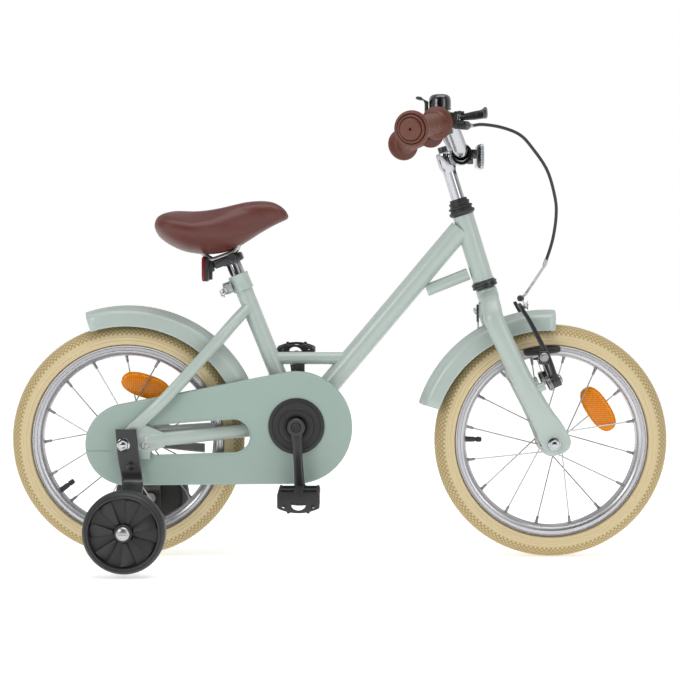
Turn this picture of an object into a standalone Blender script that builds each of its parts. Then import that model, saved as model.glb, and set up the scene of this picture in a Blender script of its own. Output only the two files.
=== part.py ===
"""A 14 inch kids bike with stabilisers, front rim brake, coaster hub and full chain guard.

Frame of reference: origin on the ground midway between the axles, +X forward, +Z up, rider's right at -Y.
Shapes are drawn in millimetres and turned to metres as each object is finished."""

import math

import bmesh
import bpy
from mathutils import Vector

for old in list(bpy.data.objects):
    bpy.data.objects.remove(old, do_unlink=True)

MM = 0.001
GAP = 0.3
RIGHT, LEFT = -1, 1
SIDES = {"right": RIGHT, "left": LEFT}

# Wheels
WHEEL_RADIUS = 174.0
TYRE_WIDTH = 47.0
AXLE_X = 315.5
RIM_OUTER, RIM_INNER, RIM_HALF = 142.5, 128.0, 14.0
SPOKES = 16
SPOKE_RADIUS = 1.1
WHEEL_STEPS = 28
AXLE_RADIUS = 4.7

# Steering line, from the bottom of the head tube to its top
HEAD_BOTTOM = Vector((214.2, 0, 412.8))
HEAD_TOP = Vector((183.7, 0, 510.0))
HEAD_RADIUS, HEAD_BORE = 15.5, 13.1
STEERER_RADIUS, STEERER_BORE = 12.7, 10.2
QUILL_RADIUS = 9.8
STEERER_TOP = 118.0
QUILL_FOOT, QUILL_TOP = 66.0, 196.0

# Frame
BRACKET = Vector((-63.0, 0, 200.0))
SHELL_RADIUS, SHELL_HALF = 20.5, 34.0
SEAT_ANGLE = 21.8
SEAT_TUBE_LENGTH = 236.0
SEAT_TUBE_RADIUS, SEAT_TUBE_BORE = 12.9, 11.4
POST_RADIUS = 11.1
DOWN_TUBE_RADIUS = 16.0
DOWN_TUBE_TOP = Vector((180.0, 0, 489.2))
DROPOUT_Y, DROPOUT_HALF = 57.0, 2.5

# Drive
CHAIN_LINE = -38.0
CHAINRING_TEETH, SPROCKET_TEETH = 28, 16
CHAIN_PITCH = 12.7
CRANK_LENGTH = 92.0
CRANK_TILT = 3.6
PEDAL_OUTLINE = [(-30, -13), (-30, 6), (-27.5, 8.5), (27.5, 8.5), (30, 6), (30, -13), (20, -18), (8, -20.5)]
PEDAL_OUTLINE += [(-8, -20.5), (-20, -18)]
PEDAL_HOLE = [(-9.5, -7), (9.5, -7), (7.5, -13), (3, -16), (-3, -16), (-7.5, -13)]
GUARD_OUTER, GUARD_WALL, GUARD_BACK = -52.0, 2.0, -31.0

# Stabilisers
STABILISER_RADIUS = 58.4
STABILISER_CLEARANCE = 6.0
STABILISER_Y = 190.0
STABILISER_X = -300.5

# Handlebar
BAR_RADIUS = 11.0
BAR_CENTRE = Vector((179.7, 0, 599.0))
GRIP_START, GRIP_END = 115.0, 222.0
GRIP_AXIS_START = Vector((140.3, 115.0, 639.4))
GRIP_AXIS_END = Vector((100.2, 215.0, 625.2))

FRONT_AXLE = Vector((AXLE_X, 0, WHEEL_RADIUS))
REAR_AXLE = Vector((-AXLE_X, 0, WHEEL_RADIUS))
STEER = (HEAD_TOP - HEAD_BOTTOM).normalized()
STEER_FORWARD = Vector((STEER.z, 0, -STEER.x))
SEAT = Vector((-math.sin(math.radians(SEAT_ANGLE)), 0, math.cos(math.radians(SEAT_ANGLE))))
SEAT_BACK = Vector((-SEAT.z, 0, SEAT.x))
ACROSS = Vector((0, 1, 0))
UP = Vector((0, 0, 1))
FORWARD = Vector((1, 0, 0))


def on_steering(along, forward=0.0, across=0.0):
    """A point by its distance up the steering line, ahead of it and to the left of it."""
    return HEAD_BOTTOM + STEER * along + STEER_FORWARD * forward + ACROSS * across


def on_seat_tube(along, back=0.0, across=0.0):
    return BRACKET + SEAT * along + SEAT_BACK * back + ACROSS * across


def mirrored(point, side):
    """The point with its Y on the given side."""
    return Vector((point[0], abs(point[1]) * side, point[2]))


def material(name, colour, roughness, metallic=0.0):
    made = bpy.data.materials.new(name)
    made.use_nodes = True
    shader = made.node_tree.nodes["Principled BSDF"]
    linear = [(int(colour[i : i + 2], 16) / 255) ** 2.2 for i in (0, 2, 4)]
    shader.inputs["Base Color"].default_value = (*linear, 1.0)
    shader.inputs["Roughness"].default_value = roughness
    shader.inputs["Metallic"].default_value = metallic
    made.diffuse_color = (*linear, 1.0)
    return made


MINT = material("mint_paint", "B9CBC3", 0.35)
SAGE = material("sage_guard", "A3B9B0", 0.4)
CHROME = material("chrome", "D4D4D6", 0.15, 1.0)
ALLOY = material("rim_alloy", "C9C7CC", 0.3, 1.0)
STEEL = material("zinc_steel", "B4B4B2", 0.35, 1.0)
BLACK = material("black_plastic", "2B2B2D", 0.5)
BLACK_METAL = material("black_metal", "242426", 0.35, 0.6)
BROWN = material("brown_grip", "7A4538", 0.6)
LEATHER = material("brown_saddle", "6E3C34", 0.4)
CREAM = material("cream_rubber", "D9C79B", 0.7)
AMBER = material("amber_reflector", "F58A07", 0.15)
RED = material("red_reflector", "8E1B20", 0.15)
CLEAR = material("clear_reflector", "E6E8EA", 0.1)


def closed_up(shape):
    bmesh.ops.remove_doubles(shape, verts=shape.verts, dist=0.001)
    bmesh.ops.recalc_face_normals(shape, faces=shape.faces)
    return shape


def across_frame(direction):
    """Two unit vectors square to a direction and to each other."""
    along = Vector(direction).normalized()
    helper = ACROSS if abs(along.y) < 0.9 else UP
    first = along.cross(helper).normalized()
    return first, along.cross(first).normalized()


def ring(centre, first, second, radius_first, radius_second, sides, power=2.0):
    """Points round a superellipse, which is an ellipse at a power of 2 and squarer above it."""
    points = []
    for i in range(sides):
        angle = 2 * math.pi * (i + 0.5) / sides
        c, s = math.cos(angle), math.sin(angle)
        u = math.copysign(abs(c) ** (2 / power), c) * radius_first
        v = math.copysign(abs(s) ** (2 / power), s) * radius_second
        points.append(Vector(centre) + first * u + second * v)
    return points


def loft(rings, looped=False):
    """A skin through rings of the same number of points, with flat ends unless it is looped."""
    shape = bmesh.new()
    rows = [[shape.verts.new(point) for point in points] for points in rings]
    spans = list(zip(rows, rows[1:])) + ([(rows[-1], rows[0])] if looped else [])
    for near, far in spans:
        for i in range(len(near)):
            j = (i + 1) % len(near)
            shape.faces.new((near[i], near[j], far[j], far[i]))
    if not looped:
        shape.faces.new(rows[0])
        shape.faces.new(rows[-1])
    return closed_up(shape)


def tube(path, radius, sides=10, power=2.0):
    """A tube along a path. The radius is a number, or one (first, second) pair for each point."""
    path = [Vector(point) for point in path]
    rings = []
    first, _ = across_frame(path[1] - path[0])
    for i, point in enumerate(path):
        before, after = path[max(i - 1, 0)], path[min(i + 1, len(path) - 1)]
        along = (after - before).normalized()
        first = (first - along * first.dot(along)).normalized()
        second = along.cross(first)
        pair = radius[i] if isinstance(radius, list) else (radius, radius)
        rings.append(ring(point, first, second, pair[0], pair[1], sides, power))
    return loft(rings)


def rod(start, end, radius, sides=16, end_radius=None):
    far = radius if end_radius is None else end_radius
    return tube([start, end], [(radius, radius), (far, far)], sides)


def turned(profile, centre, axis, steps=18, looped=False):
    """A solid of revolution. The profile gives (distance along the axis, radius) pairs."""
    shape = bmesh.new()
    first, _ = across_frame(axis)
    axis = Vector(axis).normalized()
    points = [shape.verts.new(Vector(centre) + axis * along + first * r) for along, r in profile]
    edges = [shape.edges.new(pair) for pair in zip(points, points[1:])]
    if looped:
        edges.append(shape.edges.new((points[-1], points[0])))
    bmesh.ops.spin(
        shape,
        geom=points + edges,
        cent=centre,
        axis=axis,
        angle=2 * math.pi,
        steps=steps,
        use_merge=True,
    )
    return closed_up(shape)


def collar(centre, axis, inner, outer, start, end, steps=24):
    """A plain ring from one distance along the axis to another."""
    return turned([(start, inner), (start, outer), (end, outer), (end, inner)], centre, axis, steps, True)


def plate(outline, start_y, end_y):
    """A flat plate whose outline lies in the XZ plane."""
    shape = bmesh.new()
    face = shape.faces.new([shape.verts.new((x, start_y, z)) for x, z in outline])
    raised = bmesh.ops.extrude_face_region(shape, geom=[face])["geom"]
    moved = [part for part in raised if isinstance(part, bmesh.types.BMVert)]
    bmesh.ops.translate(shape, verts=moved, vec=(0, end_y - start_y, 0))
    return closed_up(shape)


def box(low, high):
    shape = bmesh.new()
    bmesh.ops.create_cube(shape, size=1.0)
    low, high = Vector(low), Vector(high)
    for vert in shape.verts:
        vert.co = Vector([(low[i] + high[i]) / 2 + vert.co[i] * (high[i] - low[i]) for i in range(3)])
    return shape


def bar_box(start, end, width_direction, width, depth):
    """A bar of rectangular section from one point to another, wide along the direction given."""
    start, end = Vector(start), Vector(end)
    along = (end - start).normalized()
    wide = Vector(width_direction)
    wide = (wide - along * wide.dot(along)).normalized()
    deep = along.cross(wide)
    corners = [(1, 1), (-1, 1), (-1, -1), (1, -1)]
    rings = [
        [centre + wide * (a * width / 2) + deep * (b * depth / 2) for a, b in corners]
        for centre in (start, end)
    ]
    return loft(rings)


def arc(centre, radius, start_deg, end_deg, count):
    """Points (x, z) along an arc, counted as the eye sees it from the rider's right."""
    points = []
    for i in range(count):
        angle = math.radians(start_deg + (end_deg - start_deg) * i / (count - 1))
        points.append((centre[0] + radius * math.cos(angle), centre[1] + radius * math.sin(angle)))
    return points


def hidden_object(shape):
    mesh = bpy.data.meshes.new("helper")
    shape.to_mesh(mesh)
    helper = bpy.data.objects.new("helper", mesh)
    helper.hide_render = True
    helper.display_type = "WIRE"
    bpy.context.collection.objects.link(helper)
    return helper


def combined(base, tools, operation):
    """The base joined with the tools, or cut by them, as one new shape."""
    helpers = [hidden_object(shape) for shape in [base, *tools]]
    for helper in helpers[1:]:
        boolean = helpers[0].modifiers.new("join", "BOOLEAN")
        boolean.operation = operation
        boolean.solver = "EXACT"
        boolean.object = helper
    graph = bpy.context.evaluated_depsgraph_get()
    mesh = bpy.data.meshes.new_from_object(helpers[0].evaluated_get(graph))
    result = bmesh.new()
    result.from_mesh(mesh)
    bpy.data.meshes.remove(mesh)
    for helper in helpers:
        bpy.data.objects.remove(helper, do_unlink=True)
    bmesh.ops.remove_doubles(result, verts=result.verts, dist=0.002)
    bmesh.ops.dissolve_degenerate(result, edges=result.edges, dist=0.002)
    return result


def fuse(base, *tools):
    return combined(base, tools, "UNION")


def cut(base, *tools):
    return combined(base, tools, "DIFFERENCE")


def finish(name, shape, finish_material, pivot=(0, 0, 0), sharp_deg=35):
    """The named object, in metres, with its origin at the pivot."""
    pivot = Vector(pivot)
    bmesh.ops.translate(shape, verts=shape.verts, vec=-pivot)
    bmesh.ops.scale(shape, verts=shape.verts, vec=(MM, MM, MM))
    mesh = bpy.data.meshes.new(name)
    shape.to_mesh(mesh)
    shape.free()
    mesh.materials.append(finish_material)
    mesh.shade_smooth()
    mesh.set_sharp_from_angle(angle=math.radians(sharp_deg))
    made = bpy.data.objects.new(name, mesh)
    made.location = pivot * MM
    bpy.context.collection.objects.link(made)
    return made


def rounded_path(corners, radius, count=6):
    """A path through the corners with each inner one replaced by an arc of about the radius given."""
    corners = [Vector(corner) for corner in corners]
    path = [corners[0]]
    for before, corner, after in zip(corners, corners[1:], corners[2:]):
        into, out = (before - corner).normalized(), (after - corner).normalized()
        half = into.angle(out) / 2
        reach = min(radius / math.tan(half), (before - corner).length * 0.48, (after - corner).length * 0.48)
        start, end = corner + into * reach, corner + out * reach
        for i in range(count + 1):
            t = i / count
            path.append(start * (1 - t) ** 2 + corner * 2 * t * (1 - t) + end * t**2)
    path.append(corners[-1])
    return path


def make_frame():
    shell = collar(BRACKET, ACROSS, 17.0, SHELL_RADIUS, -SHELL_HALF, SHELL_HALF, 16)
    head = rod(HEAD_BOTTOM, HEAD_TOP, HEAD_RADIUS, 16)
    seat = rod(on_seat_tube(18), on_seat_tube(SEAT_TUBE_LENGTH), SEAT_TUBE_RADIUS, 14)
    down_start = BRACKET + (DOWN_TUBE_TOP - BRACKET).normalized() * 18
    down = rod(down_start, DOWN_TUBE_TOP, DOWN_TUBE_RADIUS, 12)
    middle = rod((-106, 0, 296.8), (18, 0, 296.8), 9.3, 10)
    strut = rod((130, 0, 397.8), (192, 0, 422.8), 9.3, 10)
    pieces = [head, seat, down, middle, strut]
    for side in (RIGHT, LEFT):
        stay = tube(
            [(-137, 6 * side, 372), (-160, 27 * side, 347), (-188.5, 43 * side, 314), (-253, 61.5 * side, 243.5),
             (-295, 59 * side, 203.5)],
            [(8.5, 8.5), (8.5, 8.5), (8.5, 8), (8.5, 5.5), (8.5, 4.5)],
        )
        chain_stay = tube(
            [(-70, 19 * side, 196), (-122, 25 * side, 192.5), (-262, 56 * side, 180.5), (-290, 57 * side, 177)],
            [(10, 7), (10, 7), (10, 5.5), (9, 3)],
        )
        hook = [(-298, 203), (-286, 203), (-256, 190), (-256, 170), (-277, 163), (-278, 152), (-292, 152)]
        hook += [(-296, 163), (-322, 164), (-327, 174), (-322, 184)]
        y = DROPOUT_Y * side
        dropout = plate(hook, y - DROPOUT_HALF, y + DROPOUT_HALF)
        pieces += [stay, chain_stay, dropout]
    bridge = rod((-176, -32, 334), (-176, 32, 334), 5, 8)
    stay_bridge = rod((-120, -22, 193), (-120, 22, 193), 6, 8)
    whole = fuse(shell, *pieces, bridge, stay_bridge)
    bores = [
        rod(on_steering(-4), on_steering(106), HEAD_BORE, 18),
        rod(on_seat_tube(60), on_seat_tube(SEAT_TUBE_LENGTH + 5), SEAT_TUBE_BORE, 14),
        rod(BRACKET - ACROSS * 40, BRACKET + ACROSS * 40, 17.0, 16),
        rod(REAR_AXLE - ACROSS * 70, REAR_AXLE + ACROSS * 70, AXLE_RADIUS + GAP, 12),
    ]
    finish("frame", cut(whole, *bores), MINT)


def make_headset():
    lower = [(-11.2, 13.1), (-11.2, 17.5), (-9.5, 19.2), (-3.0, 19.2), (-1.0, 17.0), (-GAP, 17.0), (-GAP, 13.1)]
    finish("headset_lower_cup", turned(lower, HEAD_BOTTOM, STEER, 16, True), BLACK_METAL)
    base = 101.9 + GAP
    boot = [(base, 13.1), (base, 16.5), (base + 3, 19.4), (base + 6, 19.4), (base + 7, 16.8), (base + 10, 16.4)]
    boot += [(base + 11, 18.4), (base + 13, 18.4), (base + 14, 15.0), (base + 17, 14.6), (base + 18, 15.6)]
    boot += [(base + 20, 15.6), (base + 21, 13.2), (base + 25, 12.6), (base + 25, QUILL_RADIUS + GAP)]
    boot += [(STEERER_TOP + 1, QUILL_RADIUS + GAP), (STEERER_TOP + 1, 13.1)]
    finish("headset_boot", turned(boot, HEAD_BOTTOM, STEER, 14, True), BLACK, HEAD_BOTTOM)


def make_fork():
    steerer = rod(on_steering(-24), on_steering(STEERER_TOP), STEERER_RADIUS, 14)
    crown = turned([(-34, 0), (-34, 12), (-30, 15.5), (-14, 15.5), (-11.5, 12.6), (-11.5, 0)], HEAD_BOTTOM, STEER, 14)
    parts = [crown]
    for side in (RIGHT, LEFT):
        route = [(-23, 0, 6), (-32, -1, 26), (-44, -3, 41), (-66, -4, 49), (-150, 8, 52), (-205, 19, 52)]
        route += [(-232, 25, 51.5), (-258, 29, 51), (-272, 29, 51)]
        sizes = [(11, 13), (12, 14), (12, 14.5), (12, 15), (11, 15.3), (9, 17), (5.5, 20), (4.6, 21.5), (4.6, 14)]
        rings = []
        for (along, forward, across), (lateral, fore) in zip(route, sizes):
            centre = on_steering(along, forward, across * side)
            lean = 0.75 if along > -40 else 0.0
            first = (ACROSS * side + STEER * lean).normalized()
            rings.append(ring(centre, first, STEER_FORWARD, lateral, fore, 10, 2.3))
        parts.append(loft(rings))
        boss_start = Vector((286, 52 * side, 253))
        parts.append(rod(boss_start, boss_start + BRAKE_AXIS * 17, 7.0, 10, 6.0))
    tab = bar_box(on_steering(-30, -12), on_steering(-52, -19.5), ACROSS, 14, 3)
    whole = fuse(steerer, *parts, tab)
    bores = [
        rod(on_steering(44), on_steering(STEERER_TOP + 5), STEERER_BORE, 16),
        rod(FRONT_AXLE - ACROSS * 70, FRONT_AXLE + ACROSS * 70, AXLE_RADIUS + GAP, 12),
    ]
    finish("fork", cut(whole, *bores), MINT, HEAD_BOTTOM)


BRAKE_AXIS = Vector((0.914, 0, 0.406))
BRAKE_UP = Vector((-0.406, 0, 0.914))


def make_wheel(name, axle, first_angle, signs, hub_profile, flange):
    """Rim, tyre, and a hub with its sixteen spokes. Angles are as the eye sees them from the right."""
    tyre_middle, tyre_round = WHEEL_RADIUS - TYRE_WIDTH / 2, TYRE_WIDTH / 2
    wall = 3.0
    edge = RIM_HALF - 2.5 - GAP
    bead = [(edge, RIM_OUTER + 0.7), (edge, RIM_OUTER - 5), (edge - 3, RIM_OUTER - 5), (edge - 3, RIM_OUTER + 2)]
    profile = []
    for i in range(7):
        angle = math.radians(-106 + 212 * i / 6)
        profile.append((tyre_round * math.sin(angle), tyre_middle + tyre_round * math.cos(angle)))
    profile += bead
    for i in range(4):
        angle = math.radians(95 - 190 * i / 3)
        reach = tyre_round - wall
        profile.append((reach * math.sin(angle), tyre_middle + reach * math.cos(angle)))
    profile += [(-y, radius) for y, radius in reversed(bead)]
    finish(f"{name}_tyre", turned(profile, axle, ACROSS, WHEEL_STEPS, True), CREAM, axle)

    section = [(-RIM_HALF, RIM_OUTER), (-RIM_HALF, 133), (-9, RIM_INNER), (9, RIM_INNER), (RIM_HALF, 133)]
    section += [(RIM_HALF, RIM_OUTER), (11.5, RIM_OUTER), (11.5, 135), (-11.5, 135), (-11.5, RIM_OUTER)]
    rim = turned(section, axle, ACROSS, WHEEL_STEPS, True)
    valve_hole = rod(axle, axle + eye(VALVE_ANGLE[name]) * 150, 4.6, 12)
    finish(f"{name}_rim", cut(rim, valve_hole), ALLOY, axle)

    hub = turned(hub_profile, axle, ACROSS, 12, True)
    spokes = []
    for i in range(SPOKES):
        angle = first_angle + 360 / SPOKES * i
        side = RIGHT if i % 2 else LEFT
        turn = SPOKE_TURN * signs[i % len(signs)]
        aside = flange[0] + SPOKE_CROSSING * signs[i % len(signs)]
        start = axle + eye(angle + turn) * (flange[1] - 3) + ACROSS * side * aside
        end = axle + eye(angle) * (RIM_INNER - 1.6) + ACROSS * side * 3
        spokes.append(rod(start, end, SPOKE_RADIUS, 4))
    finish(f"{name}_hub", fuse(hub, *spokes), STEEL, axle)

    valve_angle = eye(VALVE_ANGLE[name])
    profile = [(104, 0), (104, 3.4), (107, 4.2), (129, 4.2), (141, 4.2), (143, 3.5), (143, 0)]
    finish(f"{name}_valve", turned(profile, axle, valve_angle, 8), BLACK, axle)

    middle, half_length = REFLECTOR_ANGLE[name], 37.0
    outward = eye(middle)
    along = outward.cross(ACROSS)
    centre = axle + outward * 85
    pod = loft([
        ring(centre + ACROSS * y, along, outward, half_length * k, 17 * k, 14, 2.3)
        for y, k in ((-6, 0.85), (-4, 1.0), (4, 1.0), (6, 0.85))
    ])
    finish(f"{name}_wheel_reflector", pod, AMBER, axle)


def eye(angle_deg):
    """A direction in the wheel's plane, by its angle clockwise from forward as seen from the right."""
    angle = math.radians(angle_deg)
    return Vector((math.cos(angle), 0, -math.sin(angle)))


SPOKE_TURN = 39.5
SPOKE_CROSSING = 1.7
VALVE_ANGLE = {"front": 180.7, "rear": 143.5}
REFLECTOR_ANGLE = {"front": 326.5, "rear": 287.5}


def make_wheels():
    front_hub = [(-31, 5.3), (-31, 10), (-29, 10), (-29, 21), (-26, 21), (-25, 13), (25, 13), (26, 21)]
    front_hub += [(29, 21), (29, 10), (31, 10), (31, 5.3)]
    make_wheel("front", FRONT_AXLE, 9.2, (-1, 1, 1, -1), front_hub, (27.5, 21))
    rear_hub = [(-33, 5.3), (-33, 14), (-30, 14), (-30, 27), (-27, 27), (-26, 21), (26, 21), (27, 27)]
    rear_hub += [(30, 27), (30, 16), (36, 16), (36, 5.3)]
    make_wheel("rear", REAR_AXLE, 133.5, (-1, 1, 1, -1), rear_hub, (28.5, 27))
    for name, axle, reach in (("front", FRONT_AXLE, 57.0), ("rear", REAR_AXLE, 70.0)):
        nut = reach + 7
        inner = 35.0 if name == "front" else 40.0
        locknut = 44.5 if name == "front" else 53.5
        profile = [(-nut - 4, 0), (-nut - 4, AXLE_RADIUS), (-nut, AXLE_RADIUS), (-nut, 7), (-reach, 8)]
        profile += [(-reach, AXLE_RADIUS), (-locknut, AXLE_RADIUS), (-locknut, 8), (-inner, 8), (-inner, AXLE_RADIUS)]
        profile += [(-y, r) for y, r in reversed(profile)]
        finish(f"{name}_axle", turned(profile, axle, ACROSS, 10), STEEL, axle)


def guard_outline(grow=0.0):
    """The guard's outline: two round ends and the straight lines that touch both."""
    rear, front = (-AXLE_X + 1.5, 172.0, 60.0 + grow), (-64.0, 197.0, 83.0 + grow)
    dx, dz = front[0] - rear[0], front[1] - rear[1]
    lean = math.degrees(math.atan2(dz, dx))
    spread = math.degrees(math.acos((rear[2] - front[2]) / math.hypot(dx, dz)))
    outline = arc(front[:2], front[2], lean - spread, lean + spread, 19)
    return outline + arc(rear[:2], rear[2], lean + spread, lean + 360 - spread, 15)


def make_chain_guard():
    solid = plate(guard_outline(), GUARD_OUTER, GUARD_BACK)
    hollow = plate(guard_outline(-GUARD_WALL), GUARD_OUTER + GUARD_WALL, GUARD_BACK + 5)
    slot = [(-277, 156), (-157, 160.5)] + arc((-156, 185.5), 25, -88, 86, 9) + [(-160, 210.5), (-277, 201)]
    tunnel = plate(slot, GUARD_OUTER - 5, GUARD_OUTER + 8)
    opening = rod(BRACKET + ACROSS * (GUARD_OUTER - 5), BRACKET + ACROSS * (GUARD_OUTER + 8), 36, 32)
    axle_hole = rod(REAR_AXLE - ACROSS * 60, REAR_AXLE - ACROSS * 45, 10, 16)
    lower = plate([(-277, 156), (-277, 203), (-262, 203), (-262, 156)], GUARD_OUTER - 5, GUARD_OUTER + 8)
    finish("chain_guard", cut(solid, hollow, tunnel, opening, axle_hole, lower), SAGE)
    cap = [(-49, 14.5), (-49, 35.6), (-52 - GAP, 35.6), (-52 - GAP, 41), (-55.5, 40), (-57, 24)]
    cap += [(-57, 14.5)]
    finish("chain_guard_cap", turned(cap, BRACKET, ACROSS, 20, True), BLACK)


def chain_loop(grow):
    """The chain's path round the chainring and the sprocket, moved out by a distance."""
    ring_radius = CHAINRING_TEETH * CHAIN_PITCH / (2 * math.pi)
    small_radius = SPROCKET_TEETH * CHAIN_PITCH / (2 * math.pi)
    dx, dz = BRACKET.x + AXLE_X, BRACKET.z - WHEEL_RADIUS
    lean = math.degrees(math.atan2(dz, dx))
    spread = math.degrees(math.acos((small_radius - ring_radius) / math.hypot(dx, dz)))
    points = arc((BRACKET.x, BRACKET.z), ring_radius + grow, lean - spread, lean + spread, 17)
    return points + arc((-AXLE_X, WHEEL_RADIUS), small_radius + grow, lean + spread, lean + 360 - spread, 13)


def toothed(centre, teeth, bore, half):
    radius = teeth * CHAIN_PITCH / (2 * math.pi)
    outline = []
    for i in range(teeth):
        for step, reach in ((0.0, -3.4), (0.35, -0.8), (0.6, -0.8)):
            angle = 2 * math.pi * (i + step) / teeth
            outline.append((centre.x + (radius + reach) * math.cos(angle), centre.z + (radius + reach) * math.sin(angle)))
    disc = plate(outline, CHAIN_LINE - half, CHAIN_LINE + half)
    middle = Vector((centre.x, 0, centre.z))
    return cut(disc, rod(middle + ACROSS * (CHAIN_LINE - 9), middle + ACROSS * (CHAIN_LINE + 9), bore, 16))


def make_drive():
    outer = plate(chain_loop(3.6), CHAIN_LINE - 3.5, CHAIN_LINE + 3.5)
    inner = plate(chain_loop(0.2), CHAIN_LINE - 5, CHAIN_LINE + 5)
    finish("chain", cut(outer, inner), STEEL)
    finish("rear_sprocket", toothed(REAR_AXLE, SPROCKET_TEETH, 16.0, 1.2), STEEL, REAR_AXLE)
    windows = []
    for i in range(5):
        angle = math.radians(72 * i + 18)
        middle = Vector((BRACKET.x + 34 * math.cos(angle), 0, BRACKET.z + 34 * math.sin(angle)))
        windows.append(rod(middle - ACROSS * 50, middle - ACROSS * 30, 11, 10))
    chainring = cut(toothed(BRACKET, CHAINRING_TEETH, 10.3, 1.2), *windows)
    finish("chainring", chainring, BLACK_METAL, BRACKET)
    unit = collar(BRACKET, ACROSS, 9.5, 16.3, -32.0, 32.0, 16)
    finish("bottom_bracket_unit", unit, STEEL)
    spindle = [(-70, 0), (-70, 7), (-58, 7), (-58, 9.1), (40, 9.1), (58, 7), (70, 7), (70, 0)]
    finish("crank_spindle", turned(spindle, BRACKET, ACROSS, 12), STEEL, BRACKET)


def make_crank(side_name):
    side = SIDES[side_name]
    tilt = math.radians(CRANK_TILT)
    down = Vector((math.sin(tilt), 0, -math.cos(tilt)))
    if side == LEFT:
        down = -down
    hub = BRACKET + ACROSS * side * 65
    tip = hub + down * CRANK_LENGTH + ACROSS * side * 7
    boss = rod(BRACKET + ACROSS * side * 58.5, BRACKET + ACROSS * side * 73, 13.0, 14)
    across = down.cross(ACROSS)
    arm = loft([
        ring(hub + ACROSS * side * 1.5, ACROSS, across, 5.5, 8, 8, 3.5),
        ring(hub + down * 45 + ACROSS * side * 4, ACROSS, across, 5.0, 6.5, 8, 3.5),
        ring(tip, ACROSS, across, 6.5, 9.0, 8, 3.5),
        ring(tip + down * 9, ACROSS, across, 6.5, 6.0, 8, 3.5),
    ])
    eyelet = rod(tip - ACROSS * side * 7, tip + ACROSS * side * 7, 11.0, 12)
    hole = rod(BRACKET + ACROSS * side * 50, BRACKET + ACROSS * side * 90, 7.4, 16)
    finish(f"{side_name}_crank", cut(fuse(boss, arm, eyelet), hole), BLACK_METAL, BRACKET)

    centre = tip + ACROSS * side * 54
    up = 1 if side == RIGHT else -1
    body = plate([(centre.x + x, centre.z + z * up) for x, z in PEDAL_OUTLINE], centre.y - 42, centre.y + 42)
    tunnel = plate([(centre.x + x, centre.z + z * up) for x, z in PEDAL_HOLE], centre.y - 50, centre.y + 50)
    slots = []
    for front, length in ((-17, 20), (17, 20)):
        for across_centre in (-21, 21):
            spot = centre + Vector((front, across_centre, 0))
            slots.append(box(spot - Vector((length / 2, 14, 30)), spot + Vector((length / 2, 14, 30))))
    spindle = rod(tip + ACROSS * side * 7.5, centre - ACROSS * side * 30, 5.5, 8)
    pedal = fuse(cut(body, tunnel, *slots), spindle)
    finish(f"{side_name}_pedal", pedal, BLACK, tip)


def make_mudguard(name, axle, start_deg, end_deg, outer_start, outer_end, depth, extra):
    """A channel with round shoulders, swept over the tyre. Angles rise from forward to up."""
    rings = []
    count = 11
    half = 30.0
    wall = 2.0
    for i in range(count):
        t = i / (count - 1)
        angle = math.radians(start_deg + (end_deg - start_deg) * t)
        outward = Vector((math.cos(angle), 0, math.sin(angle)))
        top = outer_start + (outer_end - outer_start) * t
        outside = [(-half, top - depth), (-half, top - 12), (-24, top - 4), (-9, top - 1.5), (-6, top)]
        inside = [(-half + wall, top - depth), (-half + wall, top - 12.5), (-22.5, top - 5.8), (-8, top - 3.6)]
        section = outside + [(-y, r) for y, r in reversed(outside)]
        section += [(-y, r) for y, r in inside] + list(reversed(inside))
        rings.append([axle + outward * r + ACROSS * y for y, r in section])
    finish(name, fuse(loft(rings), *extra), MINT, HEAD_BOTTOM if name.startswith("front") else (0, 0, 0))


def make_mudguards():
    tab = bar_box(on_steering(-38.5, -20), on_steering(-68, -29), ACROSS, 12, 2.5)
    make_mudguard("front_mudguard", FRONT_AXLE, 88.5, 164.0, 195.0, 204.5, 31.0, [tab])
    make_mudguard("rear_mudguard", REAR_AXLE, 27.0, 108.0, 201.5, 201.5, 30.0, [])


def make_stem():
    quill = rod(on_steering(QUILL_FOOT), on_steering(QUILL_TOP), QUILL_RADIUS, 14)
    head = turned([(170, 0), (170, QUILL_RADIUS), (178, 13), (197, 13), (199, 11.5), (199, 0)], HEAD_BOTTOM, STEER, 14)
    arm = loft([
        ring(on_steering(186, 4), ACROSS, STEER, 10, 11, 10, 3.0),
        ring(BAR_CENTRE - STEER_FORWARD * 6, ACROSS, STEER, 14, 13, 10, 3.0),
    ])
    clamp = rod(BAR_CENTRE - ACROSS * 17, BAR_CENTRE + ACROSS * 17, BAR_RADIUS + 4.5, 14)
    bar_hole = rod(BAR_CENTRE - ACROSS * 30, BAR_CENTRE + ACROSS * 30, BAR_RADIUS + GAP, 18)
    bolt_hole = rod(on_steering(QUILL_FOOT - 5), on_steering(QUILL_TOP + 10), 4.0, 12)
    finish("stem", cut(fuse(quill, head, arm, clamp), bar_hole, bolt_hole), CHROME, HEAD_BOTTOM)
    top = 199 + GAP
    bolt = [(QUILL_FOOT - 12, 0), (QUILL_FOOT - 12, 8), (QUILL_FOOT - GAP, 9.6), (QUILL_FOOT - GAP, 3.6)]
    bolt += [(top, 3.6), (top, 7), (top + 7.5, 7), (top + 8.5, 6), (top + 8.5, 3.4), (top + 4, 3.4), (top + 4, 0)]
    finish("stem_bolt", turned(bolt, HEAD_BOTTOM, STEER, 12), BLACK_METAL, HEAD_BOTTOM)


def grip_point(distance_out, side):
    """A point on the grip's axis by its distance from the middle of the bike."""
    t = (distance_out - GRIP_START) / (GRIP_AXIS_END.y - GRIP_AXIS_START.y)
    return mirrored(GRIP_AXIS_START + (GRIP_AXIS_END - GRIP_AXIS_START) * t, side)


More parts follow.
